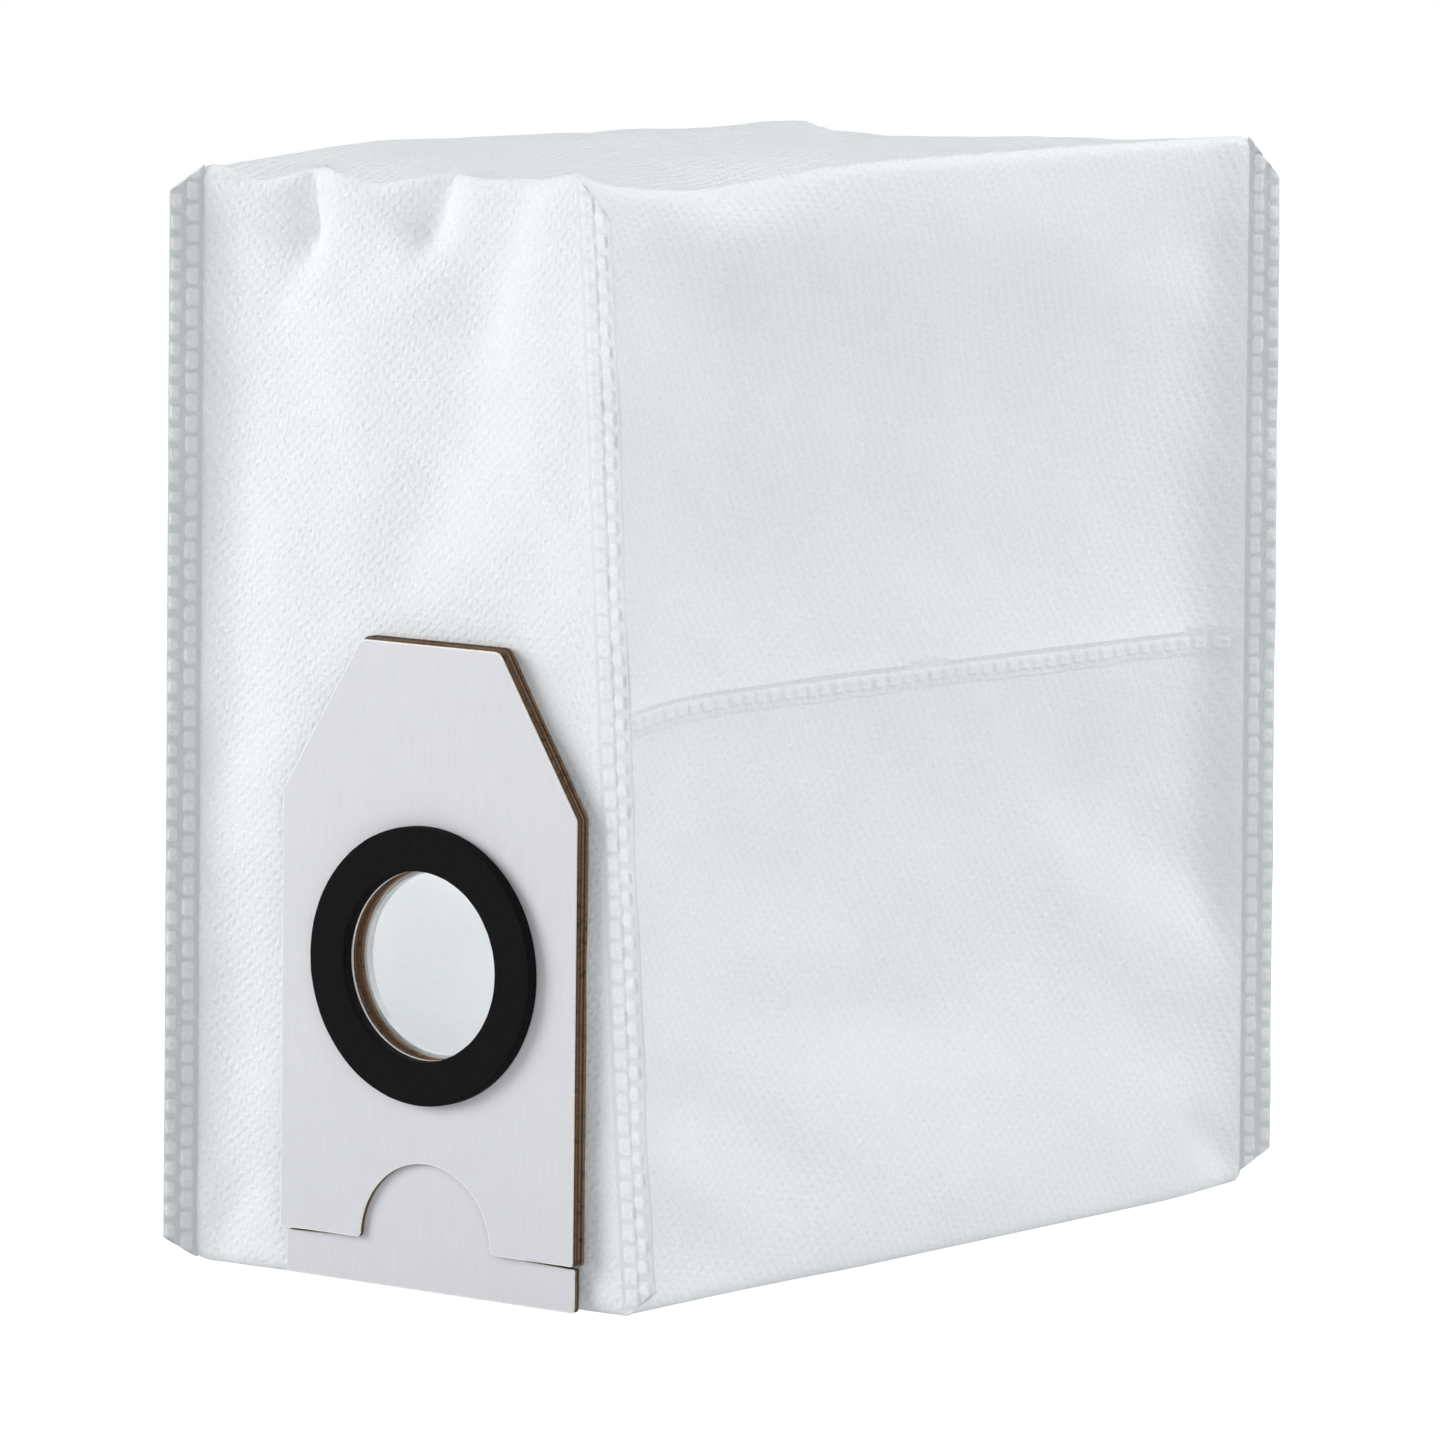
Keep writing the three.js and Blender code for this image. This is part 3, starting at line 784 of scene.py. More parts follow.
def kraft_finish(name):
    """Brown card cut across its flutes: a mottled edge with loose fibres, and painted shade in its
    open flute cells and along its core.
    """
    colours = bpy.context.scene.dust_bag_colours
    edge = Finish(name, 0.85)
    place = edge.place()
    pitch = 1 / bpy.context.scene.dust_bag_collar.flute_pitch
    flutes = edge.noise(edge.scaled(place, (pitch, pitch * 0.5, pitch)), 1.0, 3, 0.6)
    fibres = edge.noise(place, 2600, 4, 0.7)
    pale, dull = opaque(colours.kraft, 1.45), opaque(colours.kraft, 0.62)
    tint = edge.mix(edge.range(fibres, 0.3, 0.7), dull, pale)
    # Painted shade: a dark line along the core, where its open flutes lie in shade, at the same
    # depth in each board's thickness
    low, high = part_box("collar_front_board")
    depth = edge.node("ShaderNodeSeparateXYZ", {"Vector": place}).outputs["Y"]
    boards_deep = edge.math("DIVIDE", edge.math("SUBTRACT", depth, low.y), high.y - low.y)
    in_board = edge.math("FRACT", boards_deep)
    off_core = edge.math("ABSOLUTE", edge.math("SUBTRACT", in_board, CORE_PLACE))
    core = edge.range(off_core, 0.12, 0.4, 1.0, 0.0)
    core = edge.math("MULTIPLY", core, edge.range(fibres, 0.25, 0.6, 0.45, 0.95))
    tint = edge.mix(core, tint, opaque(colours.flute_shade, 1.6))
    # Painted shade: the open flute cells are coloured near-black where their hollows lie in shade
    tint = edge.mix(edge.range(flutes, 0.55, 0.68, 0.0, 0.7), tint, opaque(colours.flute_shade))
    edge.link(tint, "Base Color")
    edge.bump(edge.math("SUBTRACT", fibres, edge.range(flutes, 0.48, 0.62)), 0.8, 0.2 * MM)
    return edge.material


def foam_finish(name):
    """Black closed-cell foam with a fine open skin."""
    colours = bpy.context.scene.dust_bag_colours
    foam = Finish(name, 0.95)
    foam.shader.inputs["Specular IOR Level"].default_value = 0.15
    place = foam.place()
    keys = {"Vector": place, "Scale": 2600.0}
    cells = foam.node("ShaderNodeTexVoronoi", keys).outputs["Distance"]
    grain = foam.noise(place, 1800, 4, 0.6)
    dull, pale = opaque(colours.foam, 0.35), opaque(colours.foam, 1.25)
    tint = foam.mix(foam.range(cells, 0.1, 0.6), dull, pale)
    tint = foam.mix(foam.range(grain, 0.62, 0.72, 0.0, 0.5), tint, opaque(colours.foam, 3.5))
    foam.link(tint, "Base Color")
    foam.bump(foam.math("ADD", cells, grain), 0.7, 0.14 * MM)
    return foam.material


def settled(points, bag, seams):
    """Points of the true box where the fleece lies: draped, wrinkled and drawn into its welds."""
    shift = wrinkle_shift(points, bag) + corner_shift(points, bag)
    return drape(points, bag, seams, collar_top()) + shift


INLET_MARGIN = 0.6 * MM  # how far the fleece stands in from the boards' inlet
INLET_CUT = 20 * MM  # length of the cutter that opens the fleece


class DUSTBAG_OT_fleece_shell(Operator):
    """Build the bag's fleece: both faces of the cloth, its soft wrinkles and the inlet hole"""

    bl_idname = "dustbag.add_fleece_shell"
    bl_label = "Fleece Shell"
    bl_options = {"REGISTER", "UNDO"}

    def execute(self, context):
        bag, seams = context.scene.dust_bag_sizes, context.scene.dust_bag_seams
        collar = context.scene.dust_bag_collar
        outer = box_skin(bag, 0, bag.step)
        inner = box_skin(bag, bag.wall, bag.lining_step)
        outer_count, inner_count = len(outer[1]), len(inner[1])
        points = np.concatenate([settled(skin[0], bag, seams) for skin in (outer, inner)])
        faces = np.concatenate([outer[1], inner[1][:, ::-1] + len(outer[0])])
        places = np.concatenate([cloth_places(*skin) for skin in (outer, inner)])
        fleece = existing("bonded_fleece", fleece_finish)
        shell = new_object("fleece_shell", points, faces, fleece, places, 50)
        shell.data.materials.append(existing("smooth_lining", lining_finish))
        kinds = [0] * outer_count + [1] * inner_count
        shell.data.polygons.foreach_set("material_index", kinds)
        middle = turned_middle()
        bpy.ops.mesh.primitive_cylinder_add(
            vertices=128,
            radius=collar.hole_radius - INLET_MARGIN,
            depth=INLET_CUT,
            location=(middle.x, -bag.depth / 2, middle.z),
            rotation=(math.pi / 2, 0, 0),
        )
        cutter = context.object
        cut = shell.modifiers.new("inlet", "BOOLEAN")
        cut.operation, cut.object, cut.solver = "DIFFERENCE", cutter, "EXACT"
        apply_modifiers(shell)
        bpy.data.objects.remove(cutter)
        if len(shell.data.polygons) < outer_count:
            raise RuntimeError("The inlet couldn't be cut from the fleece")
        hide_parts("fleece_bag")
        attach(shell, "root")
        return {"FINISHED"}


def ribbon(rows, columns):
    """Faces of a closed body of rows of points, each row a ring of columns points."""
    faces = []
    for row in range(rows - 1):
        for column in range(columns):
            following = (column + 1) % columns
            low, high = row * columns, (row + 1) * columns
            faces.append((low + column, low + following, high + following, high + column))
    faces.append(tuple(range(columns))[::-1])
    faces.append(tuple((rows - 1) * columns + column for column in range(columns)))
    return faces


def puffed(across, up, half_width, half_height):
    """The height of a puffed rounded rectangle, 1 in its middle and 0 outside it."""
    reach = np.abs(across / half_width) ** PAD_SQUARE + np.abs(up / half_height) ** PAD_SQUARE
    return np.sqrt(np.clip(1 - reach, 0, 1))


PAD_SQUARE = 5  # power that makes a pad's outline squarish: 2 is an ellipse
PAD_WOBBLE = 0.1 * MM  # how far a pad lies out of its row
PAD_UNLIKE = 0.15  # how much a pad's height varies
PAD_SPREAD = 0.16  # how much closer together the near fin's pads lie at its top than at its foot
FILM_FADE = 0.6  # how much paler the near fin's film is at its top
FIN_ROOT = 0.7 * MM  # how far a fin reaches into the bag's corner
FIN_COLUMNS = 27  # mesh lines across a fin
FIN_ROWS = 12  # mesh lines to a pad pitch
FIN_END = 0.5 * MM  # how far a fin ends below the top and above the floor
FIN_EDGE = 0.5 * MM  # over what width a fin thins out to its free edge
FIN_EDGE_SHARE = 0.4  # the free edge's thickness as a share of the film's
MERGE = 0.004 * MM  # how near points of a fin are joined

# A fin's two rows of pads: height in mm and shift along in pitches
PAD_ROWS = ((3.85, 0.0), (3.0, 0.5))

# The corners' fins: name, side in X and Y, way the fin stands in degrees, its width in mm, each
# row's middle and width as shares of that, the start and height of its lower cut and the height of
# its upper one in mm, and how far its plane lies behind the corner in mm
FINS = (
    ("near", 1, -1, 0.0, 8.0, ((0.265, 0.43), (0.69, 0.32)), (0.3, 6.0, 7.0), 0.15),
    ("left", -1, -1, 225.0, 6.9, ((0.28, 0.38), (0.78, 0.32)), (1.0, 4.3, 5.3), 0.0),
    ("rear_right", 1, 1, 45.0, 6.6, ((0.27, 0.37), (0.785, 0.32)), (3.2, 5.0, 8.6), 0.0),
    ("rear_left", -1, 1, 135.0, 7.2, ((0.27, 0.38), (0.77, 0.32)), (2.0, 5.0, 7.0), 0.0),
)


class DUSTBAG_OT_corner_fins(Operator):
    """Build the four welded corner fins, with two staggered rows of puffed pads on both faces"""

    bl_idname = "dustbag.add_corner_fins"
    bl_label = "Corner Fins"
    bl_options = {"REGISTER", "UNDO"}

    def execute(self, context):
        bag, seams = context.scene.dust_bag_sizes, context.scene.dust_bag_seams
        material = existing("bonded_fleece", fleece_finish)
        for fin in FINS:
            made = self.build_fin(bag, seams, material, *fin)
            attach(made, "root")
        return {"FINISHED"}

    def build_fin(self, bag, seams, material, name, side_x, side_y, turn, *shape):
        width_mm, rows_across, cuts, back_mm = shape
        width, set_back = width_mm * MM, back_mm * MM
        base_start, base_cut, top_cut = (cut * MM for cut in cuts)
        pitch = seams.pad_pitch
        is_near = turn == 0
        outward = np.linspace(-FIN_ROOT, width, FIN_COLUMNS)
        levels = np.linspace(FIN_END, bag.height - FIN_END, int(bag.height / pitch) * FIN_ROWS)
        u, z = np.meshgrid(outward, levels)
        top_line = bag.height - FIN_END - np.maximum(0, u) * top_cut / width
        base_line = base_start + np.maximum(0, u) * base_cut / width
        proud = np.zeros_like(u)
        for (pad_height, shift), (middle, pad_width) in zip(PAD_ROWS, rows_across):
            nearest = (np.round(z / pitch - shift) + shift) * pitch
            wobble = PAD_WOBBLE * np.sin(nearest * 911)
            spread = 1 + PAD_SPREAD * (z / bag.height - 0.5) * is_near
            half_pad = pad_height * MM / 2 * spread
            aside = u - middle * width - wobble
            pad = puffed(aside, z - nearest, pad_width * width / 2, half_pad)
            unlike = 1 - PAD_UNLIKE + PAD_UNLIKE * np.sin(nearest * 1733)
            proud = np.maximum(proud, pad * unlike)
        edge = np.clip((width - u) / FIN_EDGE, 0, 1) ** 0.5
        half_film = seams.fin_film / 2 * (FIN_EDGE_SHARE + (1 - FIN_EDGE_SHARE) * edge)
        z = np.clip(z, base_line, top_line)
        faint = 1 - FILM_FADE * np.clip(z / bag.height, 0, 1) * is_near
        film = (1 - np.minimum(1, proud * 1.8)) * faint
        thick = half_film + proud * seams.pad_rise
        sheets = [np.stack([u, face * thick, z], -1) for face in (-1, 1)]
        rings = np.concatenate([sheets[0], sheets[1][:, ::-1]], 1)
        rows, columns = rings.shape[:2]
        flat = rings.reshape(-1, 3)
        free = np.clip(flat[:, 0] / width, 0, 1) ** 1.4
        along = flat[:, 0]
        across = flat[:, 1] + free * ripples(flat[:, 2], side_x * 2 + side_y)
        c, s = math.cos(math.radians(turn)), math.sin(math.radians(turn))
        at_x, at_y = side_x * bag.width / 2, side_y * (bag.depth / 2 - set_back)
        x, y = at_x + along * c - across * s, at_y + along * s + across * c
        points = drape(np.stack([x, y, flat[:, 2]], 1), bag, seams, collar_top())
        made = new_object(f"corner_fin_{name}", points, ribbon(rows, columns), material)
        lay_cloth(made.data, flat[:, [0, 2]])
        mark_pressed(made.data, np.concatenate([film, film[:, ::-1]], 1))
        return cleaned(made, MERGE)


def ripples(z, number):
    """The slow sideways waves of a fin's free edge."""
    slow, quick = z / (9.5 * MM) + number, z / (4.3 * MM) + 2 * number
    return 0.32 * MM * np.sin(slow) + 0.22 * MM * np.sin(quick)


# A folded seam's cross-section: distance below its top as a share of the flap's height, and how far
# it stands off the wall as a share of its thickness
SEAM_SECTION = (
    *((-0.04, -0.9), (-0.02, 0.3), (0.04, 0.5), (0.1, 0.55)),
    *((0.15 + 0.055 * step, 0.55) for step in range(12)),
    *((0.82, 0.53), (0.9, 0.46), (1.0, 0.3), (1.1, 0.08), (1.2, -0.9)),
)
SEAM_STEP = 0.4 * MM  # distance between the mesh lines along a seam
SEAM_PAD = (0.43, 0.3)  # its pads' middle and half height, as shares of the flap's height
SEAM_PAD_HALF = 0.37  # half a pad's length in pitches
SEAM_PAD_RISE = 0.45 * MM  # how far a pad stands up
SEAM_FILM = ((0.1, 0.8), 0.25)  # where the flap is pressed between the pads, and how much


class DUSTBAG_OT_side_seams(Operator):
    """Build the folded seams at mid height on the right, left and back walls"""

    bl_idname = "dustbag.add_side_seams"
    bl_label = "Side Seams"
    bl_options = {"REGISTER", "UNDO"}

    def execute(self, context):
        bag, seams = context.scene.dust_bag_sizes, context.scene.dust_bag_seams
        material = existing("bonded_fleece", fleece_finish)
        for wall, span in ((RIGHT, bag.depth), (LEFT, bag.depth), (BACK, bag.width)):
            made = self.build_seam(bag, seams, material, wall, span)
            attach(made, "root")
        return {"FINISHED"}

    def build_seam(self, bag, seams, material, wall, span):
        half = span / 2 - seams.seam_end_gap
        rows = int(2 * half / SEAM_STEP)
        along = np.linspace(-half, half, rows)
        drops, offs = np.array(SEAM_SECTION).T
        s, t = np.meshgrid(along, drops, indexing="ij")
        off = np.broadcast_to(offs, s.shape)
        nearest = np.round(s / seams.pad_pitch) * seams.pad_pitch
        pad_middle, pad_half = SEAM_PAD
        pad = puffed(s - nearest, t - pad_middle, seams.pad_pitch * SEAM_PAD_HALF, pad_half)
        off = off * seams.seam_thickness + pad * SEAM_PAD_RISE * (off > 0)
        sway = 0.25 * MM * np.sin(s / (11 * MM)) + 0.1 * MM * np.sin(s / (3.1 * MM))
        z = SEAM_LINE - SEAM_TOP_DROP - t * seams.seam_drop + sway
        beside = {
            RIGHT: np.stack([bag.width / 2 + off, s, z], -1),
            LEFT: np.stack([-bag.width / 2 - off, s, z], -1),
            BACK: np.stack([s, bag.depth / 2 + off, z], -1),
        }[wall]
        points = settled(beside.reshape(-1, 3), bag, seams)
        faces = ribbon(rows, len(SEAM_SECTION))
        made = new_object(f"folded_seam_{wall}", points, faces, material)
        lay_cloth(made.data, np.stack([s.ravel(), z.ravel()], 1))
        (film_from, film_to), film = SEAM_FILM
        between = film * (1 - np.minimum(1, pad * 2))
        mark_pressed(made.data, np.where((t > film_from) & (t < film_to), between, 0))
        return cleaned(made)


def rounded_outline(corners, steps=8):
    """An outline through corners given as (x, z, radius), as an array of its points."""
    points = []
    for i, (x, z, radius) in enumerate(corners):
        corner = Vector((x, z))
        if not radius:
            points.append(corner)
            continue
        before = (Vector(corners[i - 1][:2]) - corner).normalized()
        after = (Vector(corners[(i + 1) % len(corners)][:2]) - corner).normalized()
        reach = radius / math.tan(before.angle(after) / 2)
        start, end = corner + before * reach, corner + after * reach
        for step in range(steps + 1):
            t = step / steps
            points.append(start * (1 - t) ** 2 + corner * 2 * t * (1 - t) + end * t * t)
    return np.array([tuple(p) for p in points])


def divided(outline, longest=2.5 * MM):
    """A closed outline with its long sides cut into shorter ones."""
    points = []
    for start, end in zip(outline, np.roll(outline, -1, 0)):
        count = max(1, math.ceil(np.hypot(*(end - start)) / longest))
        points += [start + (end - start) * i / count for i in range(count)]
    return np.array(points)


def drawn_in(outline, inset):
    """A closed counterclockwise outline moved inwards by inset."""
    before, after = np.roll(outline, 1, 0), np.roll(outline, -1, 0)
    run = after - before
    run = run / np.linalg.norm(run, axis=1)[:, None]
    return outline + np.stack([-run[:, 1], run[:, 0]], 1) * inset


def circle(centre_x, centre_z, radius, count=160):
    """A counterclockwise circle of points."""
    turn = np.linspace(0, 2 * math.pi, count, endpoint=False)
    return np.stack([centre_x + radius * np.cos(turn), centre_z + radius * np.sin(turn)], 1)


COATED, CUT_CORE, LINER_EDGE_AND_HIGHLIGHT = range(3)  # a card's materials
ROUNDED_LAYERS = 2  # how many bands of its cut edge the die rounds


def layered_card(name, outline, hole, front_y, thickness, collar, lined=True):
    """A board of two liners and a fluted core that lies a little behind the liners' cut edges."""
    liner, setback, soft = min(collar.liner, thickness / 3), collar.core_setback, collar.edge_soft
    # The cut edge from front to back: depth, and how far it is drawn in
    layers = ((0, soft), (soft * 0.35, soft * 0.3), (soft, 0), (liner + soft, 0))
    layers += ((liner + soft, setback), (thickness - liner, setback))
    layers += ((thickness - liner, 0), (thickness, 0))
    loops = [divided(outline)] + ([divided(hole)[::-1]] if hole is not None else [])
    points, faces, kinds, starts = [], [], [], []
    for loop in loops:
        starts.append([])
        for depth, inset in layers:
            starts[-1].append(len(points))
            for x, z in drawn_in(loop, inset):
                points.append((x, front_y + depth, z))
        count = len(loop)
        for layer in range(len(layers) - 1):
            low, high = starts[-1][layer], starts[-1][layer + 1]
            for i in range(count):
                j = (i + 1) % count
                faces.append((low + i, low + j, high + j, high + i))
                # The die-rounded bands take the paler liner edge colour, partly a painted highlight
                kinds.append(LINER_EDGE_AND_HIGHLIGHT if lined and layer < ROUNDED_LAYERS else CUT_CORE)
    for layer, flip in ((0, False), (len(layers) - 1, True)):
        rings, numbers = [], []
        for loop, start in zip(loops, starts):
            ring = range(start[layer], start[layer] + len(loop))
            numbers += ring
            rings.append([Vector((points[i][0], points[i][2], 0)) for i in ring])
        for triangle in tessellate_polygon(rings):
            corners = [numbers[i] for i in triangle]
            faces.append(tuple(corners[::-1] if flip else corners))
            kinds.append(COATED if lined else CUT_CORE)
    coated = existing("coated_card", liner_finish)
    made = new_object(name, turned(points), faces, coated, None, 30)
    made.data.materials.append(existing("cut_card", kraft_finish))
    made.data.materials.append(existing("liner_edge_and_highlight", liner_edge_and_highlight_finish))
    made.data.polygons.foreach_set("material_index", kinds)
    return cleaned(made)


COLLAR_TURN = math.radians(0.55)  # how far the collar is turned in its own plane
SHOULDER_HEIGHT = 104 * MM  # where the collar's sides start to slant
HALF_TOP = 18.5 * MM  # half the width of its top edge
SHOULDER_ROUND, TOP_ROUND = 2 * MM, 2.6 * MM  # how its upper corners are rounded
FOOT_ROUND = 0.8 * MM  # how its lower corners are rounded
SPACER_ROUND = 0.6 * MM  # how the spacer's lower corners are rounded
THUMB_NOTCH = 17.4 * MM  # radius of the thumb notch
NOTCH_ROUND = 1.4 * MM  # how its ends are rounded
NOTCH_ENDS = 0.12  # how far from level its arc ends, in radians
SLIDE_NECK = 25.5 * MM  # half the width of the slide's neck
SLIDE_RIM = 3 * MM  # width of the spacer beside the slide, across its slanted sides
SLIDE_HOLE = 21.5 * MM  # radius of the slide's own hole
SLIDE_ROUND, BAR_ROUND = 1.2 * MM, 0.5 * MM  # how its bar's lower and upper corners are rounded
SLIDE_SLOPE = 0.2 * MM  # how much higher the slide's lower edge is cut at its left end
BAR_GAP = 0.45 * MM  # how far the slide's bar falls away from the front board at its ends
GLUE_GAP = 0.3 * MM  # room round the slide's head, and over its bar
NECK_GAP = 0.8 * MM  # room beside the slide's neck
FRONT_LIFT = 0.9 * MM  # how far the front board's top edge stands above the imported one
BOARD_LIFT = 1.5 * MM  # how far the inner boards' top edges stand above it


def collar_corners(high, half):
    """The collar's four upper corners, from its right shoulder round to its left one."""
    return (
        (half, SHOULDER_HEIGHT, SHOULDER_ROUND),
        (HALF_TOP, high, TOP_ROUND),
        (-HALF_TOP, high, TOP_ROUND),
        (-half, SHOULDER_HEIGHT, SHOULDER_ROUND),
    )


def slanted_side(inset, high, half):
    """The height of the collar's slanted side at a distance from the middle, and the other way."""
    run, rise = half - HALF_TOP, high - SHOULDER_HEIGHT
    level = rise * half + run * SHOULDER_HEIGHT - inset * math.hypot(run, rise)
    return (lambda x: (level - rise * x) / run), (lambda z: (level - run * z) / rise)


def shifted(corners, middle):
    """Corners about the collar's middle, moved to where it lies."""
    return [(x + middle, z, radius) for x, z, radius in corners]


class DUSTBAG_OT_collar_boards(Operator):
    """Build the collar's front board, the frame that spaces it, and its back board"""

    bl_idname = "dustbag.add_collar_boards"
    bl_label = "Collar Boards"
    bl_options = {"REGISTER", "UNDO"}

    def execute(self, context):
        collar = context.scene.dust_bag_collar
        low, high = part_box("collar_front_board")
        middle, half = (low.x + high.x) / 2, (high.x - low.x) / 2
        hole_x, hole_z = collar_middle().x, collar_middle().z
        upper = collar_corners(high.z + FRONT_LIFT, half)
        turns = np.linspace(NOTCH_ENDS, math.pi - NOTCH_ENDS, 48)
        arc = [(-THUMB_NOTCH * math.cos(a), low.z + THUMB_NOTCH * math.sin(a), 0) for a in turns]
        corners = [(-half, low.z, FOOT_ROUND), (-THUMB_NOTCH, low.z, NOTCH_ROUND), *arc]
        corners += [(THUMB_NOTCH, low.z, NOTCH_ROUND), (half, low.z, FOOT_ROUND), *upper]
        outline = rounded_outline(shifted(corners, middle))
        hole = circle(hole_x, hole_z, collar.hole_radius)
        front = layered_card("front_board", outline, hole, low.y, high.y - low.y, collar)
        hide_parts("collar_front_board")
        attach(front, "root")

        low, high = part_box("collar_back_board")
        upper = collar_corners(high.z + BOARD_LIFT, half)
        corners = [(-half, low.z, FOOT_ROUND), (half, low.z, FOOT_ROUND), *upper]
        outline = rounded_outline(shifted(corners, middle))
        back = layered_card("back_board", outline, hole, low.y, high.y - low.y, collar, False)
        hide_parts("collar_back_board")
        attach(back, "root")

        low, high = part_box("collar_spacer_frame")
        height_at, distance_at = slanted_side(SLIDE_RIM, high.z, half)
        inner, inner_top = SLIDE_NECK + NECK_GAP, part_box("closing_slide")[1].z + GLUE_GAP
        inner_shoulder, inner_half_top = height_at(inner), distance_at(inner_top)
        corners = [(inner, low.z, 0), (half, low.z, SPACER_ROUND), *upper]
        corners += [(-half, low.z, SPACER_ROUND), (-inner, low.z, 0)]
        corners += [(-inner, inner_shoulder, 0), (-inner_half_top, inner_top, 0)]
        corners += [(inner_half_top, inner_top, 0), (inner, inner_shoulder, 0)]
        outline = rounded_outline(shifted(corners, middle))
        spacer = layered_card("spacer_frame", outline, None, low.y, high.y - low.y, collar, False)
        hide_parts("collar_spacer_frame")
        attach(spacer, "root")
        return {"FINISHED"}


class DUSTBAG_OT_closing_slide(Operator):
    """Build the card slide that is pulled down behind the front board to close the inlet"""

    bl_idname = "dustbag.add_closing_slide"
    bl_label = "Closing Slide"
    bl_options = {"REGISTER", "UNDO"}

    def execute(self, context):
        collar = context.scene.dust_bag_collar
        low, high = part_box("closing_slide")
        board_low, board_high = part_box("collar_front_board")
        middle, half_bar = (low.x + high.x) / 2, (high.x - low.x) / 2
        half_board = (board_high.x - board_low.x) / 2
        bar_top = board_low.z - GLUE_GAP
        height_at, distance_at = slanted_side(SLIDE_RIM + GLUE_GAP, board_high.z, half_board)
        shoulder, half_head = height_at(SLIDE_NECK), distance_at(high.z)
        corners = [(-half_bar, low.z + SLIDE_SLOPE, SLIDE_ROUND), (half_bar, low.z, SLIDE_ROUND)]
        corners += [(half_bar, bar_top - BAR_GAP, BAR_ROUND), (SLIDE_NECK, bar_top, 0)]
        corners += [(SLIDE_NECK, shoulder, 0), (half_head, high.z, 0), (-half_head, high.z, 0)]
        corners += [(-SLIDE_NECK, shoulder, 0), (-SLIDE_NECK, bar_top, 0)]
        corners += [(-half_bar, bar_top - BAR_GAP, BAR_ROUND)]
        hole = circle(collar_middle().x, collar_middle().z, SLIDE_HOLE)
        outline = rounded_outline(shifted(corners, middle))
        slide = layered_card("slide_card", outline, hole, low.y, high.y - low.y, collar)
        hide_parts("closing_slide")
        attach(slide, "slide")
        return {"FINISHED"}


FOAM_ROWS = 240  # mesh lines round the foam ring
FOAM_UNEVEN = 0.07 * MM  # how uneven its cut edges are
FOAM_SWELL = 0.05 * MM  # how uneven its face is


class DUSTBAG_OT_foam_gasket(Operator):
    """Build the foam ring round the inlet"""

    bl_idname = "dustbag.add_foam_gasket"
    bl_label = "Foam Gasket"
    bl_options = {"REGISTER", "UNDO"}

    def execute(self, context):
        collar = context.scene.dust_bag_collar
        low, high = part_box("foam_gasket")
        middle = collar_middle()
        inner, outer, soft = collar.hole_radius, collar.foam_radius, collar.foam_round
        arc = [(1 - math.sin(t), 1 - math.cos(t)) for t in np.linspace(0, math.pi / 2, 6)]
        section = [(outer, high.y)] + [(outer - soft * b, low.y + soft * a) for a, b in arc]
        section += [(outer - (outer - inner) * part, low.y) for part in (0.2, 0.4, 0.6, 0.8)]
        section += [(inner + soft * b, low.y + soft * a) for a, b in arc[::-1]] + [(inner, high.y)]
        points = []
        for turn in np.arange(FOAM_ROWS) * 2 * math.pi / FOAM_ROWS:
            c, s = math.cos(turn), math.sin(turn)
            for radius, y in section:
                if y < high.y:
                    aside = noise.noise(Vector((c, s, radius * 60)) * 9)
                    sunk = noise.noise(Vector((c, s, radius * 90)) * 5)
                    radius += FOAM_UNEVEN * aside
                    y = max(low.y - FOAM_SWELL, y - FOAM_SWELL * sunk)
                points.append((middle.x + radius * c, y, middle.z + radius * s))
        faces, columns = [], len(section)
        for row in range(FOAM_ROWS):
            here, there = row * columns, (row + 1) % FOAM_ROWS * columns
            for column in range(columns):
                after = (column + 1) % columns
                faces.append((here + column, here + after, there + after, there + column))
        foam = existing("black_foam_skin", foam_finish)
        ring = cleaned(new_object("foam_ring", turned(points), faces, foam, None, 50))
        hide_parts("foam_gasket")
        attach(ring, "root")
        return {"FINISHED"}


LIT_PLACE = (0, 0, 0.11)  # the place that the lamps turn to
INSIDE_LAMP = ((-0.01, 0.0, 0.05), 0.02, 0.06)  # its place from there, height above it and size
SENSOR_WIDTH = 36  # the camera's, in millimetres
FAR_CLIP = 20  # how far the camera sees, in metres
FLOOR_SIZE = 12  # in metres
FLOOR_DROP = 0.1 * MM  # how far the floor lies under the bag
FLOOR_COLOUR = (0.4, 0.4, 0.4, 1)
WHITE = (1, 1, 1, 1)
ROOM_COLOUR = (0.95, 0.975, 1, 1)

# Soft lamps round the bag: name, place from there in metres, size, and share of the power
LAMPS = (
    ("front_left_lamp", (-1.15, -1.05, 0.4), 1.0, 1.56),
    ("front_right_lamp", (0.9, -1.1, 0.6), 1.1, 0.5),
    ("right_lamp", (1.2, 0.95, 0.95), 1.0, 1.6),
    ("top_lamp", (0.0, 0.1, 1.75), 1.1, 1.32),
)


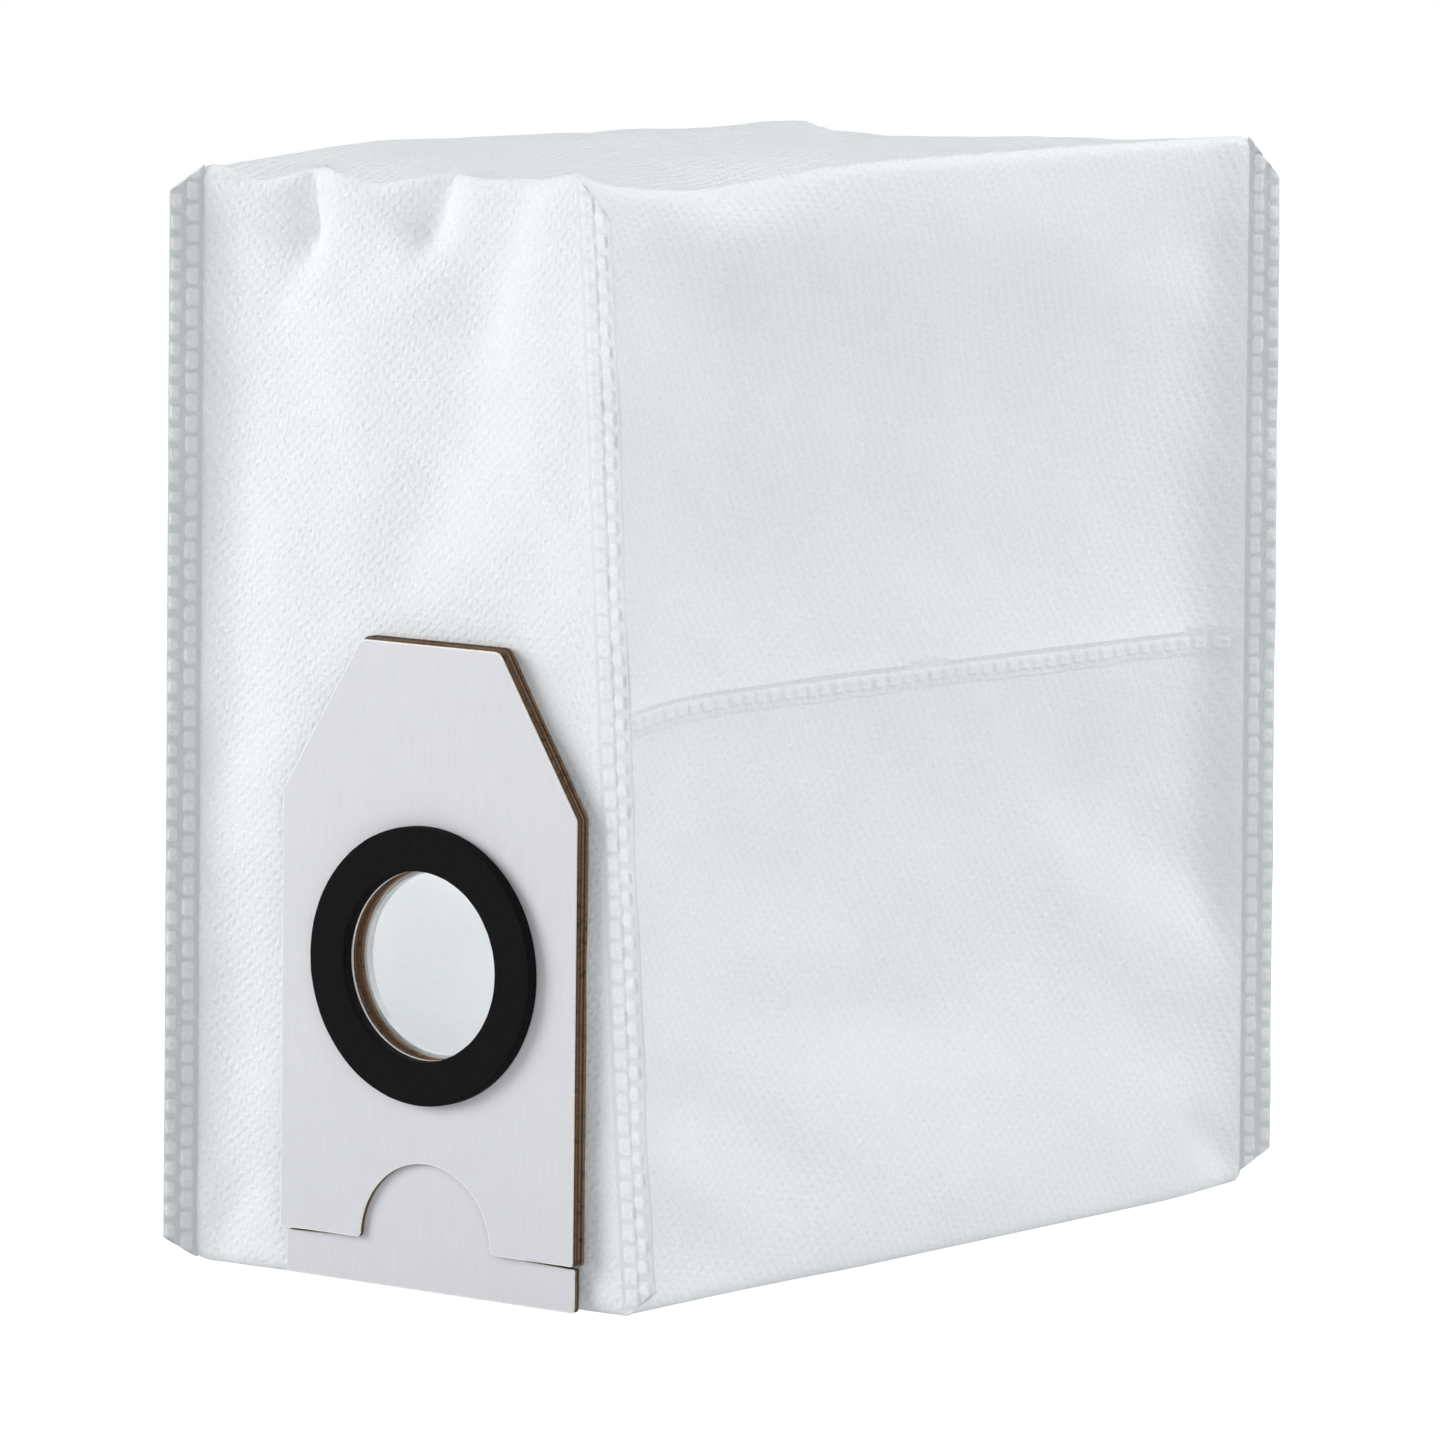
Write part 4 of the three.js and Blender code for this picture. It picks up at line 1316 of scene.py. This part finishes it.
class DUSTBAG_OT_stage(Operator):
    """Set the pale floor, the soft lamps and the camera at the photo's angle"""

    bl_idname = "dustbag.add_stage"
    bl_label = "Stage"
    bl_options = {"REGISTER", "UNDO"}

    def execute(self, context):
        stage = context.scene.dust_bag_stage
        self.add_floor(context, stage)
        self.add_world(context, stage)
        centre = Vector(LIT_PLACE)
        for name, place, size, part in LAMPS:
            self.add_lamp(context, name, centre, Vector(place), size, part * stage.lamp_power)
        place, above, size = INSIDE_LAMP
        inside = centre + Vector(place)
        rise = Vector((0, 0, above))
        self.add_lamp(context, "inside_lamp", inside, rise, size, stage.inside_power)
        self.add_camera(context, stage)
        context.scene.view_settings.view_transform = "Standard"
        return {"FINISHED"}

    def add_camera(self, context, stage):
        a, e = stage.azimuth, stage.elevation
        forward = Vector((-math.sin(a) * math.cos(e), math.cos(a) * math.cos(e), -math.sin(e)))
        right = Vector((math.cos(a), math.sin(a), 0))
        up = right.cross(forward)
        target = Vector((0, 0, stage.target_height)) - right * stage.target_side
        c, s = math.cos(stage.roll), math.sin(stage.roll)
        image_right, image_up = right * c + up * s, up * c - right * s
        data = bpy.data.cameras.new("camera")
        data.lens, data.sensor_width, data.clip_end = stage.lens, SENSOR_WIDTH, FAR_CLIP
        camera = bpy.data.objects.new("camera", data)
        context.scene.collection.objects.link(camera)
        turn = Matrix((image_right, image_up, -forward)).transposed().to_4x4()
        camera.matrix_world = Matrix.Translation(target - forward * stage.distance) @ turn
        context.scene.camera = camera

    def add_lamp(self, context, name, centre, place, size, power):
        data = bpy.data.lights.new(name, "AREA")
        data.shape, data.size, data.energy = "DISK", size, power
        lamp = bpy.data.objects.new(name, data)
        lamp.location = centre + place
        lamp.rotation_euler = (-place).to_track_quat("-Z", "Y").to_euler()
        context.scene.collection.objects.link(lamp)

    def add_world(self, context, stage):
        world = bpy.data.worlds.new("white_room")
        world.use_nodes = True
        tree = world.node_tree
        even = tree.nodes["Background"]
        even.inputs["Color"].default_value = ROOM_COLOUR
        even.inputs["Strength"].default_value = stage.ambient
        seen = tree.nodes.new("ShaderNodeBackground")
        seen.inputs["Color"].default_value = WHITE
        path = tree.nodes.new("ShaderNodeLightPath")
        mix = tree.nodes.new("ShaderNodeMixShader")
        tree.links.new(path.outputs["Is Camera Ray"], mix.inputs[0])
        tree.links.new(even.outputs[0], mix.inputs[1])
        tree.links.new(seen.outputs[0], mix.inputs[2])
        tree.links.new(mix.outputs[0], tree.nodes["World Output"].inputs[0])
        context.scene.world = world

    def add_floor(self, context, stage):
        floor = Finish("pale_floor", 0.9, Base_Color=FLOOR_COLOUR)
        output = next(n for n in floor.tree.nodes if n.type == "OUTPUT_MATERIAL")
        seen = floor.node("ShaderNodeEmission", {"Color": WHITE, "Strength": stage.floor_glow})
        even = floor.node("ShaderNodeEmission", {"Color": WHITE, "Strength": stage.floor_light})
        to_camera = floor.node("ShaderNodeLightPath").outputs["Is Camera Ray"]
        keys = {0: to_camera, 1: even.outputs[0], 2: seen.outputs[0]}
        pick = floor.node("ShaderNodeMixShader", keys)
        total = floor.node("ShaderNodeAddShader", {0: floor.shader.outputs[0], 1: pick.outputs[0]})
        floor.tree.links.new(total.outputs[0], output.inputs[0])
        bpy.ops.mesh.primitive_plane_add(size=FLOOR_SIZE, location=(0, 0, -FLOOR_DROP))
        plane = context.object
        plane.name = "pale_floor"
        plane.data.materials.append(floor.material)


class DUSTBAG_PT_panel(Panel):
    """The bag's sizes, its finishes and the steps that build it"""

    bl_label = "Fleece Dust Bag"
    bl_idname = "DUSTBAG_PT_panel"
    bl_space_type = "VIEW_3D"
    bl_region_type = "UI"
    bl_category = "Dust Bag"

    def draw(self, context):
        for group in GROUPS:
            settings = getattr(context.scene, group)
            column = self.layout.column(align=True)
            for name in settings.bl_rna.properties.keys():
                if name not in ("rna_type", "name"):
                    column.prop(settings, name)
        for step in STEPS:
            self.layout.operator(step.bl_idname)


STEPS = (
    DUSTBAG_OT_fleece_shell,
    DUSTBAG_OT_corner_fins,
    DUSTBAG_OT_side_seams,
    DUSTBAG_OT_collar_boards,
    DUSTBAG_OT_closing_slide,
    DUSTBAG_OT_foam_gasket,
    DUSTBAG_OT_stage,
)


def register():
    for kind in (*GROUPS.values(), *STEPS, DUSTBAG_PT_panel):
        bpy.utils.register_class(kind)
    for name, kind in GROUPS.items():
        setattr(bpy.types.Scene, name, PointerProperty(type=kind))


def unregister():
    for name in GROUPS:
        delattr(bpy.types.Scene, name)
    for kind in (DUSTBAG_PT_panel, *reversed(STEPS), *reversed(tuple(GROUPS.values()))):
        bpy.utils.unregister_class(kind)


def main():
    register()
    bpy.ops.dustbag.add_fleece_shell()
    bpy.ops.dustbag.add_corner_fins()
    bpy.ops.dustbag.add_side_seams()
    bpy.ops.dustbag.add_collar_boards()
    bpy.ops.dustbag.add_closing_slide()
    bpy.ops.dustbag.add_foam_gasket()
    bpy.ops.dustbag.add_stage()


if __name__ == "__main__":
    main()
